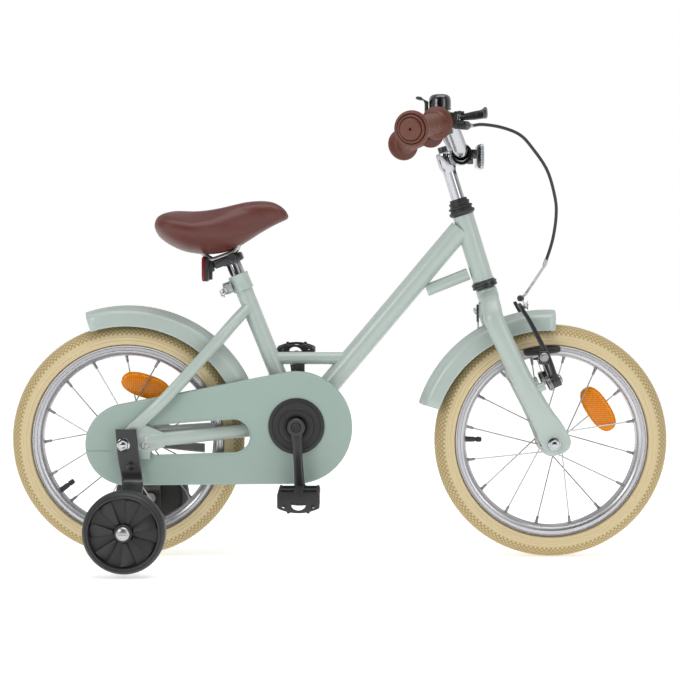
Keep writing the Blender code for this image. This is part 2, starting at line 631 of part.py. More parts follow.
def bar_tube(radius):
    corners = []
    for side in (RIGHT, LEFT):
        half = [grip_point(GRIP_END - 6, side), grip_point(68, side), Vector((179.7, 34 * side, 599))]
        corners += half if side == RIGHT else list(reversed(half))
    return tube(rounded_path(corners, 34, 5), radius, 12)


def make_handlebar():
    finish("handlebar", bar_tube(BAR_RADIUS), CHROME, HEAD_BOTTOM)
    for name, side in SIDES.items():
        start = grip_point(GRIP_START, side)
        axis = (grip_point(GRIP_END, side) - start).normalized()
        length = (grip_point(GRIP_END, side) - start).length
        bore = BAR_RADIUS + GAP
        inside = length - 5
        profile = [(0, bore), (0, 21.5), (2, 23.6), (6, 23.6), (8.5, 17.5), (14, 16.0), (length - 18, 16.4)]
        profile += [(length - 12, 18), (length - 9, 25.3), (length - 3, 25.3), (length - 1, 23), (length, 16)]
        profile += [(length, 1.6), (inside, 1.6), (inside, bore)]
        finish(f"{name}_grip", turned(profile, start, axis, 14, True), BROWN, HEAD_BOTTOM)


def make_bell():
    across = 82.0
    on_bar = grip_point(across, RIGHT)
    axis = (grip_point(GRIP_END, RIGHT) - on_bar).normalized()
    lean = Vector((-0.22, 0, 1)).normalized()
    band = rod(on_bar - axis * 5, on_bar + axis * 5, BAR_RADIUS + 3.5, 14)
    post = rod(on_bar + lean * 12.5, on_bar + lean * 18, 7, 8)
    centre = on_bar + Vector((-5, 0, 0)) + lean * 16
    dome = turned([(0, 0), (0, 15), (2, 16.2), (17, 15.8), (20.5, 14), (22.5, 10), (23.3, 0)], centre, UP, 14)
    finish("bell", cut(fuse(band, post, dome), bar_tube(BAR_RADIUS + GAP + 0.5)), BLACK, HEAD_BOTTOM)
    pivot = centre + Vector((-19.5, -4, 2))
    stem = rod(pivot - UP * 5, pivot + UP * 9, 2.6, 8)
    paddle = loft([
        ring(pivot + UP * 9, FORWARD, ACROSS, 3, 5, 10, 2.5),
        ring(pivot + Vector((-4, -1, 13)), FORWARD, ACROSS, 3.5, 6, 10, 2.5),
        ring(pivot + Vector((-13, -2, 15)), FORWARD, ACROSS, 2.5, 6.5, 10, 2.5),
    ])
    finish("bell_lever", fuse(stem, paddle), BLACK, pivot)


LEVER_PIVOT = Vector((172.0, -106.0, 649.0))


def make_brake_lever():
    on_bar = grip_point(104, RIGHT)
    axis = (grip_point(GRIP_END, RIGHT) - on_bar).normalized()
    band = collar(on_bar, axis, BAR_RADIUS + GAP, BAR_RADIUS + 4.5, -7, 7, 14)
    bridge = box((158.5, -111, 633), (169, -97, 655))
    fork_low = box((166, -112, 639), (178, -97, 643.5))
    fork_high = box((166, -112, 652.8), (178, -97, 655.5))
    barrel = rod((177, -103, 637), (186, -84, 637.6), 6.0, 10)
    neck = box((166, -108, 632), (181, -98, 640))
    clear_bar = rod(on_bar - axis * 14, on_bar + axis * 9, BAR_RADIUS + GAP, 14)
    body = cut(fuse(band, bridge, fork_low, fork_high, neck, barrel), clear_bar)
    finish("brake_lever_bracket", body, BLACK, HEAD_BOTTOM)
    route = [(171, -104.5, 648.2), (181, -109, 648.6), (196, -122, 650), (204, -142, 650.5), (204, -172, 649)]
    route += [(201, -196, 647)]
    sizes = [(3.8, 3.8), (4, 4.2), (4.8, 4), (5.5, 3.5), (6, 3.5), (5, 3)]
    blade = tube(route, sizes, 8, 2.6)
    finish("brake_lever", blade, BLACK_METAL, LEVER_PIVOT)


def make_front_reflector():
    lens = box((207.6, -34, 577), (212.8, 34, 615))
    bmesh.ops.bevel(
        lens, geom=[e for e in lens.edges if abs(e.verts[0].co.x - e.verts[1].co.x) > 1],
        offset=7, segments=3, affect="EDGES", profile=0.5, material=-1,
    )
    finish("front_reflector", lens, CLEAR, HEAD_BOTTOM)
    y = -30.0
    centre = BAR_CENTRE + ACROSS * y
    band = rod(centre - ACROSS * 5.5, centre + ACROSS * 5.5, BAR_RADIUS + 4.5, 16)
    arm = box((BAR_CENTRE.x + 12, y - 5, 592), (203, y + 5, 606))
    back = box((202, -31, 580), (207.3, 31, 612))
    bmesh.ops.bevel(
        back, geom=[e for e in back.edges if abs(e.verts[0].co.x - e.verts[1].co.x) > 1],
        offset=6, segments=2, affect="EDGES", profile=0.5, material=-1,
    )
    clear_bar = bar_tube(BAR_RADIUS + GAP + 0.5)
    finish("front_reflector_bracket", cut(fuse(back, arm, band), clear_bar), BLACK, HEAD_BOTTOM)


CABLE_ROUTE = [
    (186.3, -83.5, 637.6), (194, -72, 638.4), (208, -62, 640.5), (237, -48, 637), (265, -33, 627),
    (285, -18, 608), (308, -2, 577), (321, 12, 540), (325, 24, 512), (321, 34, 474), (309.5, 40, 434.5),
]
CABLE_RADIUS = 2.4


def smooth_route(points, step):
    """Points at an even step along a smooth curve through the route's own points."""
    points = [Vector(point) for point in points]
    ends = [points[0] * 2 - points[1], *points, points[-1] * 2 - points[-2]]
    curve = []
    for a, b, c, d in zip(ends, ends[1:], ends[2:], ends[3:]):
        count = max(2, round((c - b).length / step))
        for i in range(count):
            t = i / count
            curve.append(
                0.5 * ((2 * b) + (c - a) * t + (2 * a - 5 * b + 4 * c - d) * t**2 + (3 * b - a - 3 * c + d) * t**3)
            )
    curve.append(points[-1])
    return curve


def make_cable():
    curve = bpy.data.curves.new("brake_cable", "CURVE")
    curve.dimensions = "3D"
    curve.bevel_depth = CABLE_RADIUS * MM
    curve.bevel_resolution = 1
    curve.use_fill_caps = True
    points = smooth_route(CABLE_ROUTE, 11.0)
    line = curve.splines.new("POLY")
    line.points.add(len(points) - 1)
    for spot, point in zip(line.points, points):
        spot.co = (*(point * MM), 1.0)
    curve.materials.append(BLACK)
    made = bpy.data.objects.new("brake_cable", curve)
    bpy.context.collection.objects.link(made)
    bend = [(309.1, 40.2, 433.2), (288, 42, 401), (280, 40, 390), (274, 32, 386.5), (271, 22, 386), (270.5, 14, 386)]
    finish("brake_noodle", tube(smooth_route(bend, 9.0), 2.2, 6), STEEL, BRAKE_PIVOT[LEFT])


BRAKE_PIVOT = {side: Vector((303.0, 52.0 * side, 260.5)) for side in (RIGHT, LEFT)}


def make_brake():
    for name, side in SIDES.items():
        pivot = BRAKE_PIVOT[side]
        y = 52.0 * side
        barrel = rod(pivot + BRAKE_AXIS * 2.0, pivot + BRAKE_AXIS * 22, 9.5, 12)
        base = pivot + BRAKE_AXIS * 16
        inward = -ACROSS * side
        route = [base + BRAKE_UP * 4, base + BRAKE_UP * 45, base + BRAKE_UP * 80 + inward * 5]
        route += [base + BRAKE_UP * 112 + inward * 11, base + BRAKE_UP * 125 + inward * 14]
        sizes = [(9, 4.5), (7, 4), (6, 4), (6, 4), (6, 4)]
        arm = loft([
            ring(point, ACROSS, BRAKE_AXIS, w, t, 8, 3.5) for point, (w, t) in zip(route, sizes)
        ])
        eye_piece = box((292, y - 8.5, 291), (306, y + 8.5, 311))
        stud_hole = rod(pivot - BRAKE_AXIS * 5, pivot + BRAKE_AXIS * 18.5, 6.4, 12)
        pad_centre = Vector((300.6, 0, 311.0))
        pad_hole = rod((299.5, y - 30, 302), (299.5, y + 30, 302), 3.3, 8)
        body = cut(fuse(barrel, arm, eye_piece), stud_hole, pad_hole)
        finish(f"{name}_brake_arm", body, BLACK_METAL, pivot)

        rings = []
        tread = FRONT_AXLE + (pad_centre - FRONT_AXLE).normalized() * 135.5
        along = (tread - FRONT_AXLE).normalized().cross(ACROSS)
        outward = (tread - FRONT_AXLE).normalized()
        for reach in (16.2, 20.5, 26.0):
            size = 1.0 if reach < 25 else 0.82
            rings.append(ring(tread + ACROSS * side * reach, along, outward, 27 * size, 5.2 * size, 12, 4.0))
        stud = rod((299.5, 24 * side, 302), (299.5, 63 * side, 302), 3.0, 8)
        root = box((294.5, min(22 * side, 33 * side), 298), (304.5, max(22 * side, 33 * side), 309))
        finish(f"{name}_brake_pad", fuse(loft(rings), root, stud), BLACK, pivot)


def seat_box(low, high, front, back, half):
    """A box square to the seat tube, from one distance up it and behind it to another."""
    rings = []
    for along in (low, high):
        corners = [(front, -half), (front, half), (back, half), (back, -half)]
        rings.append([on_seat_tube(along, behind, across) for behind, across in corners])
    return loft(rings)


def make_seat():
    post_foot, post_top = 130.0, 262.0
    post = rod(on_seat_tube(post_foot), on_seat_tube(post_top), POST_RADIUS, 20)
    finish("seat_post", post, CHROME, on_seat_tube(SEAT_TUBE_LENGTH))

    tube_bore, post_bore, step = SEAT_TUBE_RADIUS + GAP, POST_RADIUS + GAP, SEAT_TUBE_LENGTH + GAP
    profile = [(214, tube_bore), (214, 15.2), (239, 15.2), (239, post_bore), (step, post_bore), (step, tube_bore)]
    ring_part = turned(profile, BRACKET, SEAT, 18, True)
    ears = seat_box(216.5, 234.5, 13.5, 27.0, 7.5)
    slit = seat_box(210.0, 242.0, 8.0, 30.0, 1.2)
    skewer = rod(on_seat_tube(225.5, 20.5, -8.1), on_seat_tube(225.5, 20.5, 12), 3.0, 12)
    finish("seat_clamp", fuse(cut(fuse(ring_part, ears), slit), skewer), MINT)

    pivot = on_seat_tube(225.5, 20.5, -14)
    head = rod(on_seat_tube(218, 20.5, -14), on_seat_tube(233, 20.5, -14), 5.6, 16)
    blade = loft([
        ring(on_seat_tube(222, 24, -15), SEAT, ACROSS, 5, 4, 8, 3.0),
        ring(on_seat_tube(219, 32, -10), SEAT, (ACROSS - SEAT_BACK).normalized(), 5.5, 2.6, 8, 3.0),
        ring(on_seat_tube(217, 35, 4), SEAT, -SEAT_BACK, 6, 2.0, 8, 3.0),
        ring(on_seat_tube(216, 34, 24), SEAT, -SEAT_BACK, 6, 1.8, 8, 3.0),
    ])
    finish("seat_clamp_lever", fuse(head, blade), CHROME, pivot)

    top = Vector((-158.5, 0, 447.0))
    slope = Vector((math.cos(math.radians(20)), 0, math.sin(math.radians(20))))
    cradle = bar_box(top - slope * 29 - UP * 1.5, top + slope * 15 - UP * 1.5, ACROSS, 34, 12)
    sleeve = rod(on_seat_tube(250), on_seat_tube(264.5), 15.0, 14)
    post_hole = rod(on_seat_tube(240), on_seat_tube(post_top + GAP), POST_RADIUS + GAP, 20)
    pin = rod(top - ACROSS * 23, top + ACROSS * 23, 5, 12)
    finish("saddle_clamp", cut(fuse(cradle, sleeve, pin), post_hole), BLACK_METAL, on_seat_tube(SEAT_TUBE_LENGTH))

    lens = box((-203.6, -28, 411), (-198.6, 28, 449))
    bmesh.ops.bevel(
        lens, geom=[e for e in lens.edges if abs(e.verts[0].co.x - e.verts[1].co.x) > 1],
        offset=8, segments=3, affect="EDGES", profile=0.5, material=-1,
    )
    finish("rear_reflector", lens, RED, on_seat_tube(SEAT_TUBE_LENGTH))
    back = box((-198.3, -26, 413), (-193.5, 26, 447))
    arm = box((-195, -10, 426), (-189.5, 10, 445))
    finish("rear_reflector_bracket", fuse(back, arm), BLACK, on_seat_tube(SEAT_TUBE_LENGTH))


SADDLE_STATIONS = [
    (-273.0, 490.0, 497.0, 30.0), (-269.5, 480.5, 507.0, 52.0), (-262.0, 472.5, 512.2, 63.0),
    (-250.0, 464.5, 514.5, 69.5), (-233.0, 456.8, 514.3, 72.0), (-215.0, 453.0, 513.7, 71.0),
    (-196.0, 451.8, 515.2, 66.0), (-176.0, 453.8, 518.6, 56.0), (-156.0, 459.8, 523.4, 44.0),
    (-136.0, 471.8, 528.0, 34.0), (-117.0, 484.0, 531.0, 27.5), (-100.0, 493.8, 530.0, 24.0),
    (-87.0, 499.6, 524.0, 20.5), (-78.5, 502.6, 516.0, 14.0), (-75.5, 503.8, 509.0, 6.0),
]


def make_saddle():
    """Crowned on top, with sides that draw in underneath."""
    rings = []
    sides = 16
    for x, low, high, half in SADDLE_STATIONS:
        points = []
        belly = low + (high - low) * 0.52
        for i in range(sides):
            angle = 2 * math.pi * (i + 0.5) / sides
            c, s = math.cos(angle), math.sin(angle)
            width = half * math.copysign(abs(c) ** 0.75, c)
            if s > 0:
                z = belly + (high - belly) * abs(s) ** 0.8
            else:
                z = belly - (belly - low) * abs(s) ** 0.9
                width *= 1.0 - 0.30 * abs(s)
            points.append(Vector((x, width, z)))
        rings.append(points)
    finish("saddle", loft(rings), LEATHER, on_seat_tube(SEAT_TUBE_LENGTH), 60)


def make_stabilisers():
    for name, side in SIDES.items():
        axle_z = STABILISER_RADIUS + STABILISER_CLEARANCE
        axle = Vector((STABILISER_X, STABILISER_Y * side, axle_z))
        line = [(-312.5, 64.5, 196.5), (-308, 64.5, 150), (-303.5, 66.5, 124), (-300.5, 110, 98), (-300.5, 154, 88)]
        line += [(-300.5, 164.5, 80), (-300.5, 164.5, 50)]
        rings = []
        for i, (x, y, z) in enumerate(line):
            before, after = line[max(i - 1, 0)], line[min(i + 1, len(line) - 1)]
            along = Vector((0, after[1] - before[1], after[2] - before[2])).normalized()
            deep = Vector((0, along.z, -along.y))
            corners = [(15.3, 2.5), (-15.3, 2.5), (-15.3, -2.5), (15.3, -2.5)]
            spot = Vector((x, y, z))
            points = [spot + FORWARD * a + deep * b for a, b in corners]
            rings.append([mirrored(point, side) for point in points])
        holes = [rod((-AXLE_X, 50 * side, WHEEL_RADIUS), (-AXLE_X, 80 * side, WHEEL_RADIUS), 5.2, 14)]
        holes.append(rod((STABILISER_X, 150 * side, axle_z), (STABILISER_X, 185 * side, axle_z), 5.2, 14))
        finish(f"{name}_stabiliser_bracket", cut(loft(rings), *holes), BLACK_METAL)
        out = ACROSS * side
        bolt = [(-32, 0), (-32, 8), (-28.2, 8), (-28.2, 4.6), (17.3, 4.6), (17.3, 9.3), (20.5, 9.3), (22.5, 7.5), (22.5, 0)]
        finish(f"{name}_stabiliser_bolt", turned(bolt, axle, out, 10), CHROME)
        wheel = [(-16, 5.3), (-16, 13), (-6, 14), (-6, 41), (-15, 43), (-16, 52), (-10, 58.4), (10, 58.4)]
        wheel += [(16, 52), (15, 43), (8, 41), (8, 13), (17, 11), (17, 5.3)]
        finish(f"{name}_stabiliser_wheel", turned(wheel, axle, out, 20, True), BLACK, axle)


def make_coaster_arm():
    line = [(-AXLE_X, 45, 174), (-270, 45, 166), (-228, 45, 159), (-205, 45, 157)]
    rings = []
    for (x, y, z), half in zip(line, (13, 9, 7, 7)):
        rings.append([Vector((x, y + b, z + a)) for a, b in ((half, 1.3), (-half, 1.3), (-half, -1.3), (half, -1.3))])
    eyelet = rod((-AXLE_X, 43.7, 174), (-AXLE_X, 46.3, 174), 15, 14)
    hole = rod((-AXLE_X, 30, 174), (-AXLE_X, 60, 174), 8.3, 14)
    finish("coaster_brake_arm", cut(fuse(loft(rings), eyelet), hole), STEEL)


make_frame()
make_headset()
make_fork()
make_wheels()
make_chain_guard()
make_drive()
make_crank("right")
make_crank("left")
make_mudguards()
make_stem()
make_handlebar()
make_bell()
make_brake_lever()
make_front_reflector()
make_cable()
make_brake()
make_seat()
make_saddle()
make_stabilisers()
make_coaster_arm()
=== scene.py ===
# %% [markdown]
# # A kids bike with stabilisers
# This lesson dresses the frame of a small bike that was built in CAD. The CAD pieces carry the joints and the
# real sizes. Each visible piece is made again here with more detail, rides on its CAD body, and gets a
# procedural finish.

import math

import bmesh
import bpy
from mathutils import Matrix, Vector


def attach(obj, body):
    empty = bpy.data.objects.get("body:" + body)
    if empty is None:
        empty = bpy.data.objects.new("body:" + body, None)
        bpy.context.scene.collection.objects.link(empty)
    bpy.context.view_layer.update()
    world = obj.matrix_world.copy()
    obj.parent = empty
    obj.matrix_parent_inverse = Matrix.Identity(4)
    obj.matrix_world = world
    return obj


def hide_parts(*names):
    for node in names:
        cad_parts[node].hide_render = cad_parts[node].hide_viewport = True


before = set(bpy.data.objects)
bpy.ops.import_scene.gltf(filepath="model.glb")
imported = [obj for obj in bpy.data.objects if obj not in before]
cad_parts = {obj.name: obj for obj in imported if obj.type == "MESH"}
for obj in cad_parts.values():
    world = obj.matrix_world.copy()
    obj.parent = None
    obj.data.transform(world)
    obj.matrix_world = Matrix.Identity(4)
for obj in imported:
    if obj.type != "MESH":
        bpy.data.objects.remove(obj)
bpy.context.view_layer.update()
scene = bpy.context.scene

# %% [markdown]
# ## Sizes
# All shapes are drawn in millimetres and turned to metres when a piece is finished. The main points are the
# same as in the CAD model: the two axles, the bottom bracket, the steering line and the line of the seat
# tube.

# %% Sizes of the bike
MM = 0.001
ACROSS = Vector((0, 1, 0))
UP = Vector((0, 0, 1))
FORWARD = Vector((1, 0, 0))
RIGHT, LEFT = -1, 1
SIDES = {"right": RIGHT, "left": LEFT}

WHEEL_RADIUS = 174.0
TYRE_ROUND = 23.5
FRONT_AXLE = Vector((315.5, 0, WHEEL_RADIUS))
REAR_AXLE = Vector((-315.5, 0, WHEEL_RADIUS))
RIM_OUTER, RIM_HALF = 142.5, 14.0

BRACKET = Vector((-63.0, 0, 200.0))
HEAD_BOTTOM = Vector((214.2, 0, 412.8))
HEAD_TOP = Vector((183.7, 0, 510.0))
STEER = (HEAD_TOP - HEAD_BOTTOM).normalized()
STEER_FORWARD = Vector((STEER.z, 0, -STEER.x))
SEAT_ANGLE = math.radians(21.8)
SEAT = Vector((-math.sin(SEAT_ANGLE), 0, math.cos(SEAT_ANGLE)))
SEAT_BACK = Vector((-SEAT.z, 0, SEAT.x))
print("steering line", [round(v, 3) for v in STEER], "seat line", [round(v, 3) for v in SEAT])


def on_steering(along, forward=0.0, across=0.0):
    """A point by its distance up the steering line, ahead of it and to the left of it."""
    return HEAD_BOTTOM + STEER * along + STEER_FORWARD * forward + ACROSS * across


def on_seat_tube(along, back=0.0, across=0.0):
    return BRACKET + SEAT * along + SEAT_BACK * back + ACROSS * across


# %% [markdown]
# ## Camera
# The photograph was taken from the rider's right with a long lens, almost level and a little above the middle
# of the bike. A camera 2.8 m away with a 99 mm lens gives the same slight view on the top of the far pedal.

# %% Camera
CAMERA_PLACE = Vector((0.0157, -2.8, 0.473))
CAMERA_AIM = Vector((0.0008, 0.0, 0.324))
LENS_MM = 99.4
camera_data = bpy.data.cameras.new("camera")
camera_data.lens = LENS_MM
camera = bpy.data.objects.new("camera", camera_data)
scene.collection.objects.link(camera)
camera.location = CAMERA_PLACE
camera.rotation_mode = "QUATERNION"
camera.rotation_quaternion = (CAMERA_AIM - CAMERA_PLACE).to_track_quat("-Z", "Y")
scene.camera = camera
print("camera", round((CAMERA_AIM - CAMERA_PLACE).length, 3), "m from the bike")

# %% [markdown]
# ## Finishes
# Colours are read from the photograph and written as sRGB hex values. Blender's shaders work on linear
# light, so one function turns them. A second small function adds a node with its settings and links, and
# every finish is built with it.


# %% Colour and node helpers
def linear(hex_colour):
    """A linear RGBA colour from an sRGB hex value."""
    channels = [int(hex_colour[i : i + 2], 16) / 255 for i in (1, 3, 5)]
    return [c / 12.92 if c <= 0.04045 else ((c + 0.055) / 1.055) ** 2.4 for c in channels] + [1.0]


def add_node(finish, kind, links=None, **settings):
    """A node of this kind. Settings name its properties or sockets, and links name what feeds a socket."""
    node = finish.node_tree.nodes.new(kind)
    for key, value in settings.items():
        if hasattr(node, key):
            setattr(node, key, value)
        else:
            node.inputs[key.replace("_", " ")].default_value = value
    for socket, source in (links or {}).items():
        finish.node_tree.links.new(source, node.inputs[socket])
    return node


def new_finish(name, colour, roughness, **shader_values):
    """A material with its shader's constants set, and the Object coordinates that its patterns use."""
    finish = bpy.data.materials.new(name)
    finish.use_nodes = True
    shader = finish.node_tree.nodes["Principled BSDF"]
    shader.inputs["Base Color"].default_value = linear(colour)
    shader.inputs["Roughness"].default_value = roughness
    for key, value in shader_values.items():
        shader.inputs[key.replace("_", " ")].default_value = value
    where = add_node(finish, "ShaderNodeTexCoord").outputs["Object"]
    return finish, shader, where


def cloudy(finish, where, size_mm, detail=3.0):
    """Soft noise whose blotches are about size_mm wide."""
    noise = add_node(finish, "ShaderNodeTexNoise", {"Vector": where}, Scale=1000.0 / size_mm, Detail=detail)
    return noise.outputs["Fac"]


def tinted(finish, shader, factor, low, high):
    """Lets the base colour wander between two hex colours."""
    mix = add_node(finish, "ShaderNodeMix", data_type="RGBA")
    finish.node_tree.links.new(factor, mix.inputs[0])
    colours = [socket for socket in mix.inputs if socket.type == "RGBA"]
    colours[0].default_value = linear(low)
    colours[1].default_value = linear(high)
    result = [socket for socket in mix.outputs if socket.type == "RGBA"][0]
    finish.node_tree.links.new(result, shader.inputs["Base Color"])


def ranged(finish, factor, low, high):
    """The factor spread between two numbers."""
    return add_node(
        finish, "ShaderNodeMapRange", {"Value": factor}, To_Min=low, To_Max=high,
    ).outputs["Result"]


def rippled(finish, shader, height, depth_mm, strength=1.0):
    """A bump of the given depth."""
    bump = add_node(finish, "ShaderNodeBump", {"Height": height}, Strength=strength, Distance=depth_mm * MM)
    finish.node_tree.links.new(bump.outputs["Normal"], shader.inputs["Normal"])


def rough_by(finish, shader, factor, low, high):
    finish.node_tree.links.new(ranged(finish, factor, low, high), shader.inputs["Roughness"])


# %% [markdown]
# ## Enamel on the frame, fork and mudguards
# Powder coat and lacquer on steel: an even mint colour under a thin clear coat. It gives the eye a broad soft
# highlight with a sharper one over it, and a faint orange peel of a few millimetres.

# %% Mint enamel
MINT, shader, where = new_finish(
    "mint_enamel", "#AAB6B0", 0.36, Coat_Weight=0.6, Coat_Roughness=0.12, Specular_IOR_Level=0.5
)
tinted(MINT, shader, cloudy(MINT, where, 60.0), "#A7B3AC", "#ADBAB4")
rippled(MINT, shader, cloudy(MINT, where, 3.0, 1.0), 0.03, 0.35)

# %% [markdown]
# ## Moulded plastics
# The chain guard is injection moulded polypropylene, dyed a greyer green and less glossy than the enamel. The
# black parts are ABS and nylon with a fine spark-eroded grain, which breaks their highlights up. The cable's
# housing is smoother vinyl.

# %% Plastics
SAGE, shader, where = new_finish("sage_moulded_plastic", "#98ABA3", 0.42, Specular_IOR_Level=0.45)
tinted(SAGE, shader, cloudy(SAGE, where, 90.0), "#95A8A0", "#9BAEA6")
rippled(SAGE, shader, cloudy(SAGE, where, 0.8, 1.0), 0.03, 0.4)

BLACK, shader, where = new_finish("black_moulded_plastic", "#232325", 0.45, Specular_IOR_Level=0.5)
tinted(BLACK, shader, cloudy(BLACK, where, 25.0), "#1F1F21", "#28282A")
rippled(BLACK, shader, cloudy(BLACK, where, 0.7, 1.0), 0.04, 0.5)

CABLE_BLACK, shader, where = new_finish("black_vinyl_housing", "#1E1E20", 0.35)
rough_by(CABLE_BLACK, shader, cloudy(CABLE_BLACK, where, 4.0), 0.3, 0.42)

# %% [markdown]
# ## Metals
# Chrome plate mirrors the room, so it needs hardly any roughness. Zinc plate on nuts and spokes is greyer and
# duller. The rims are polished aluminium, drawn through a die, so they carry fine lines that run round the
# wheel. The bell is stove lacquered, and glossier than the enamelled black steel.

# %% Metals
CHROME, shader, where = new_finish("chrome_plate", "#B9BABD", 0.1, Metallic=1.0)
rough_by(CHROME, shader, cloudy(CHROME, where, 12.0), 0.07, 0.16)

ZINC, shader, where = new_finish("zinc_plate", "#B2B2B1", 0.3, Metallic=1.0)
tinted(ZINC, shader, cloudy(ZINC, where, 5.0), "#A5A5A4", "#BFBFBD")
rough_by(ZINC, shader, cloudy(ZINC, where, 3.0), 0.22, 0.4)

NIPPLE, shader, where = new_finish("nickel_plated_brass", "#8D8D8F", 0.35, Metallic=1.0)
rough_by(NIPPLE, shader, cloudy(NIPPLE, where, 2.0), 0.28, 0.42)

BLACK_METAL, shader, where = new_finish(
    "black_enamelled_steel", "#1B1B1D", 0.3, Coat_Weight=0.4, Coat_Roughness=0.2,
)
tinted(BLACK_METAL, shader, cloudy(BLACK_METAL, where, 15.0), "#18181A", "#232326")
rippled(BLACK_METAL, shader, cloudy(BLACK_METAL, where, 2.0, 1.0), 0.03, 0.3)

BELL_BLACK, shader, where = new_finish(
    "black_stove_lacquer", "#101012", 0.12, Coat_Weight=1.0, Coat_Roughness=0.05,
)
rough_by(BELL_BLACK, shader, cloudy(BELL_BLACK, where, 10.0), 0.1, 0.18)


def drawn_rim(name, axle):
    """Polished aluminium with fine lines at even distances from the axle."""
    finish, shader, where = new_finish(name, "#C2C1C5", 0.32, Metallic=0.85)
    centred = add_node(finish, "ShaderNodeMapping", {"Vector": where}, Location=tuple(-axle * MM))
    lines = add_node(
        finish,
        "ShaderNodeTexWave",
        {"Vector": centred.outputs["Vector"]},
        wave_type="RINGS",
        rings_direction="Y",
        Scale=150.0,
        Distortion=0.4,
        Detail=2.0,
    )
    rippled(finish, shader, lines.outputs["Fac"], 0.012, 0.3)
    rough_by(finish, shader, cloudy(finish, where, 20.0), 0.22, 0.34)
    return finish


RIM_FINISH = {
    "front": drawn_rim("polished_aluminium_front", FRONT_AXLE),
    "rear": drawn_rim("polished_aluminium_rear", REAR_AXLE),
}

# %% [markdown]
# ## Rubber and vinyl
# The tyres are natural coloured rubber, matt and a little mottled. The grips are a brown thermoplastic rubber
# with a slight sheen. The saddle's cover is brown vinyl, embossed with a leather grain whose cells are about
# 1.5 mm wide.

# %% Rubber and vinyl
CREAM, shader, where = new_finish("cream_rubber", "#D3C197", 0.62, Specular_IOR_Level=0.35)
# The tread number paints shade into the low corners between the knurls and a highlight onto their raised
# tips.
tread = add_node(CREAM, "ShaderNodeAttribute", attribute_name="tread").outputs["Fac"]
tinted(CREAM, shader, ranged(CREAM, tread, 0.0, 1.0), "#9C8654", "#DCCBA4")
rippled(CREAM, shader, cloudy(CREAM, where, 1.2, 2.0), 0.08, 0.5)

BROWN, shader, where = new_finish("brown_moulded_rubber", "#633729", 0.38, Specular_IOR_Level=0.4)
tinted(BROWN, shader, cloudy(BROWN, where, 20.0), "#5B3125", "#6B3E30")
rippled(BROWN, shader, cloudy(BROWN, where, 0.9, 2.0), 0.05, 0.5)

VINYL, shader, where = new_finish("brown_saddle_vinyl", "#5B2D27", 0.4, Specular_IOR_Level=0.4)
tinted(VINYL, shader, cloudy(VINYL, where, 30.0), "#562A24", "#60312B")
cells = add_node(VINYL, "ShaderNodeTexVoronoi", {"Vector": where}, Scale=650.0, feature="DISTANCE_TO_EDGE")
grain = ranged(VINYL, cells.outputs["Distance"], 0.0, 1.0)
rippled(VINYL, shader, grain, 0.12, 0.35)
rough_by(VINYL, shader, cloudy(VINYL, where, 9.0), 0.32, 0.46)


# %% [markdown]
# ## Reflectors
# A reflector is clear acrylic with a field of cube corners moulded into its back. They send light back to
# where it came from, so a lit reflector looks brighter in some cells than in others. A cell pattern of about
# 3 mm paints that in: bright cell centres are a painted reflection and darker cell rims painted shade.


# %% Reflector lenses
def prismatic(name, dark, bright, cell_mm):
    """Moulded acrylic whose back is a field of cube corners, their glints painted into the colour as bright
    cells.
    """
    finish, shader, where = new_finish(
        name, bright, 0.2, Coat_Weight=0.3, Coat_Roughness=0.05, Specular_IOR_Level=0.25,
    )
    corners = add_node(
        finish, "ShaderNodeTexVoronoi", {
            "Vector": where
        }, Scale=1000.0 / cell_mm, Randomness=0.15, distance="MANHATTAN"
    )
    # Bright cell centres are a painted reflection of the cube corners, the darker cell rims painted shade.
    tinted(finish, shader, ranged(finish, corners.outputs["Distance"], 1.15, -0.15), dark, bright)
    rippled(finish, shader, corners.outputs["Distance"], 0.25, 0.6)
    return finish


AMBER = prismatic("amber_acrylic", "#CE7000", "#FFA600", 3.0)
RED_LENS = prismatic("red_acrylic", "#5E0D12", "#B0202A", 3.0)
CLEAR_LENS = prismatic("clear_acrylic", "#8F959B", "#F4F6F8", 4.0)
print(len(bpy.data.materials), "materials")

# %% [markdown]
# ## Ways to shape a piece
# Most of a bike is turned, swept or cut from plate. A turned piece is a half outline that spin carries round
# its axis. A tube starts as one circle that is extruded and moved along a path. A plate is an outline that is
# extruded and bevelled. Where tubes are welded together, an exact boolean makes them one skin.


# %% Shaping helpers
def across_of(direction):
    """Two unit vectors square to a direction and to each other."""
    along = Vector(direction).normalized()
    helper = ACROSS if abs(along.y) < 0.9 else UP
    first = along.cross(helper).normalized()
    return first, along.cross(first).normalized()


def tidied(shape):
    bmesh.ops.remove_doubles(shape, verts=shape.verts, dist=0.001)
    bmesh.ops.recalc_face_normals(shape, faces=shape.faces)
    return shape


def turned(profile, centre, axis, steps=48, looped=False):
    """A solid of revolution from (distance along the axis, radius) pairs."""
    shape = bmesh.new()
    axis = Vector(axis).normalized()
    first = across_of(axis)[0]
    dots = [shape.verts.new(Vector(centre) + axis * along + first * radius) for along, radius in profile]
    lines = [shape.edges.new(pair) for pair in zip(dots, dots[1:])]
    if looped:
        lines.append(shape.edges.new((dots[-1], dots[0])))
    bmesh.ops.spin(
        shape, geom=dots + lines, cent=centre, axis=axis, angle=2 * math.pi, steps=steps, use_merge=True
    )
    return tidied(shape)


def section_frame(point, first, second, size):
    """The matrix that puts a unit circle at a point, stretched by size along its two directions."""
    matrix = Matrix.Identity(4)
    normal = first.cross(second)
    for row in range(3):
        matrix[row][0] = first[row] * size[0]
        matrix[row][1] = second[row] * size[1]
        matrix[row][2] = normal[row]
        matrix[row][3] = point[row]
    return matrix


def squared(shape, power):
    """Pulls a unit circle towards a square: 2 leaves it round and 4 makes a rounded square."""
    for vert in shape.verts:
        for k in (0, 1):
            vert.co[k] = math.copysign(abs(vert.co[k]) ** (2 / power), vert.co[k])


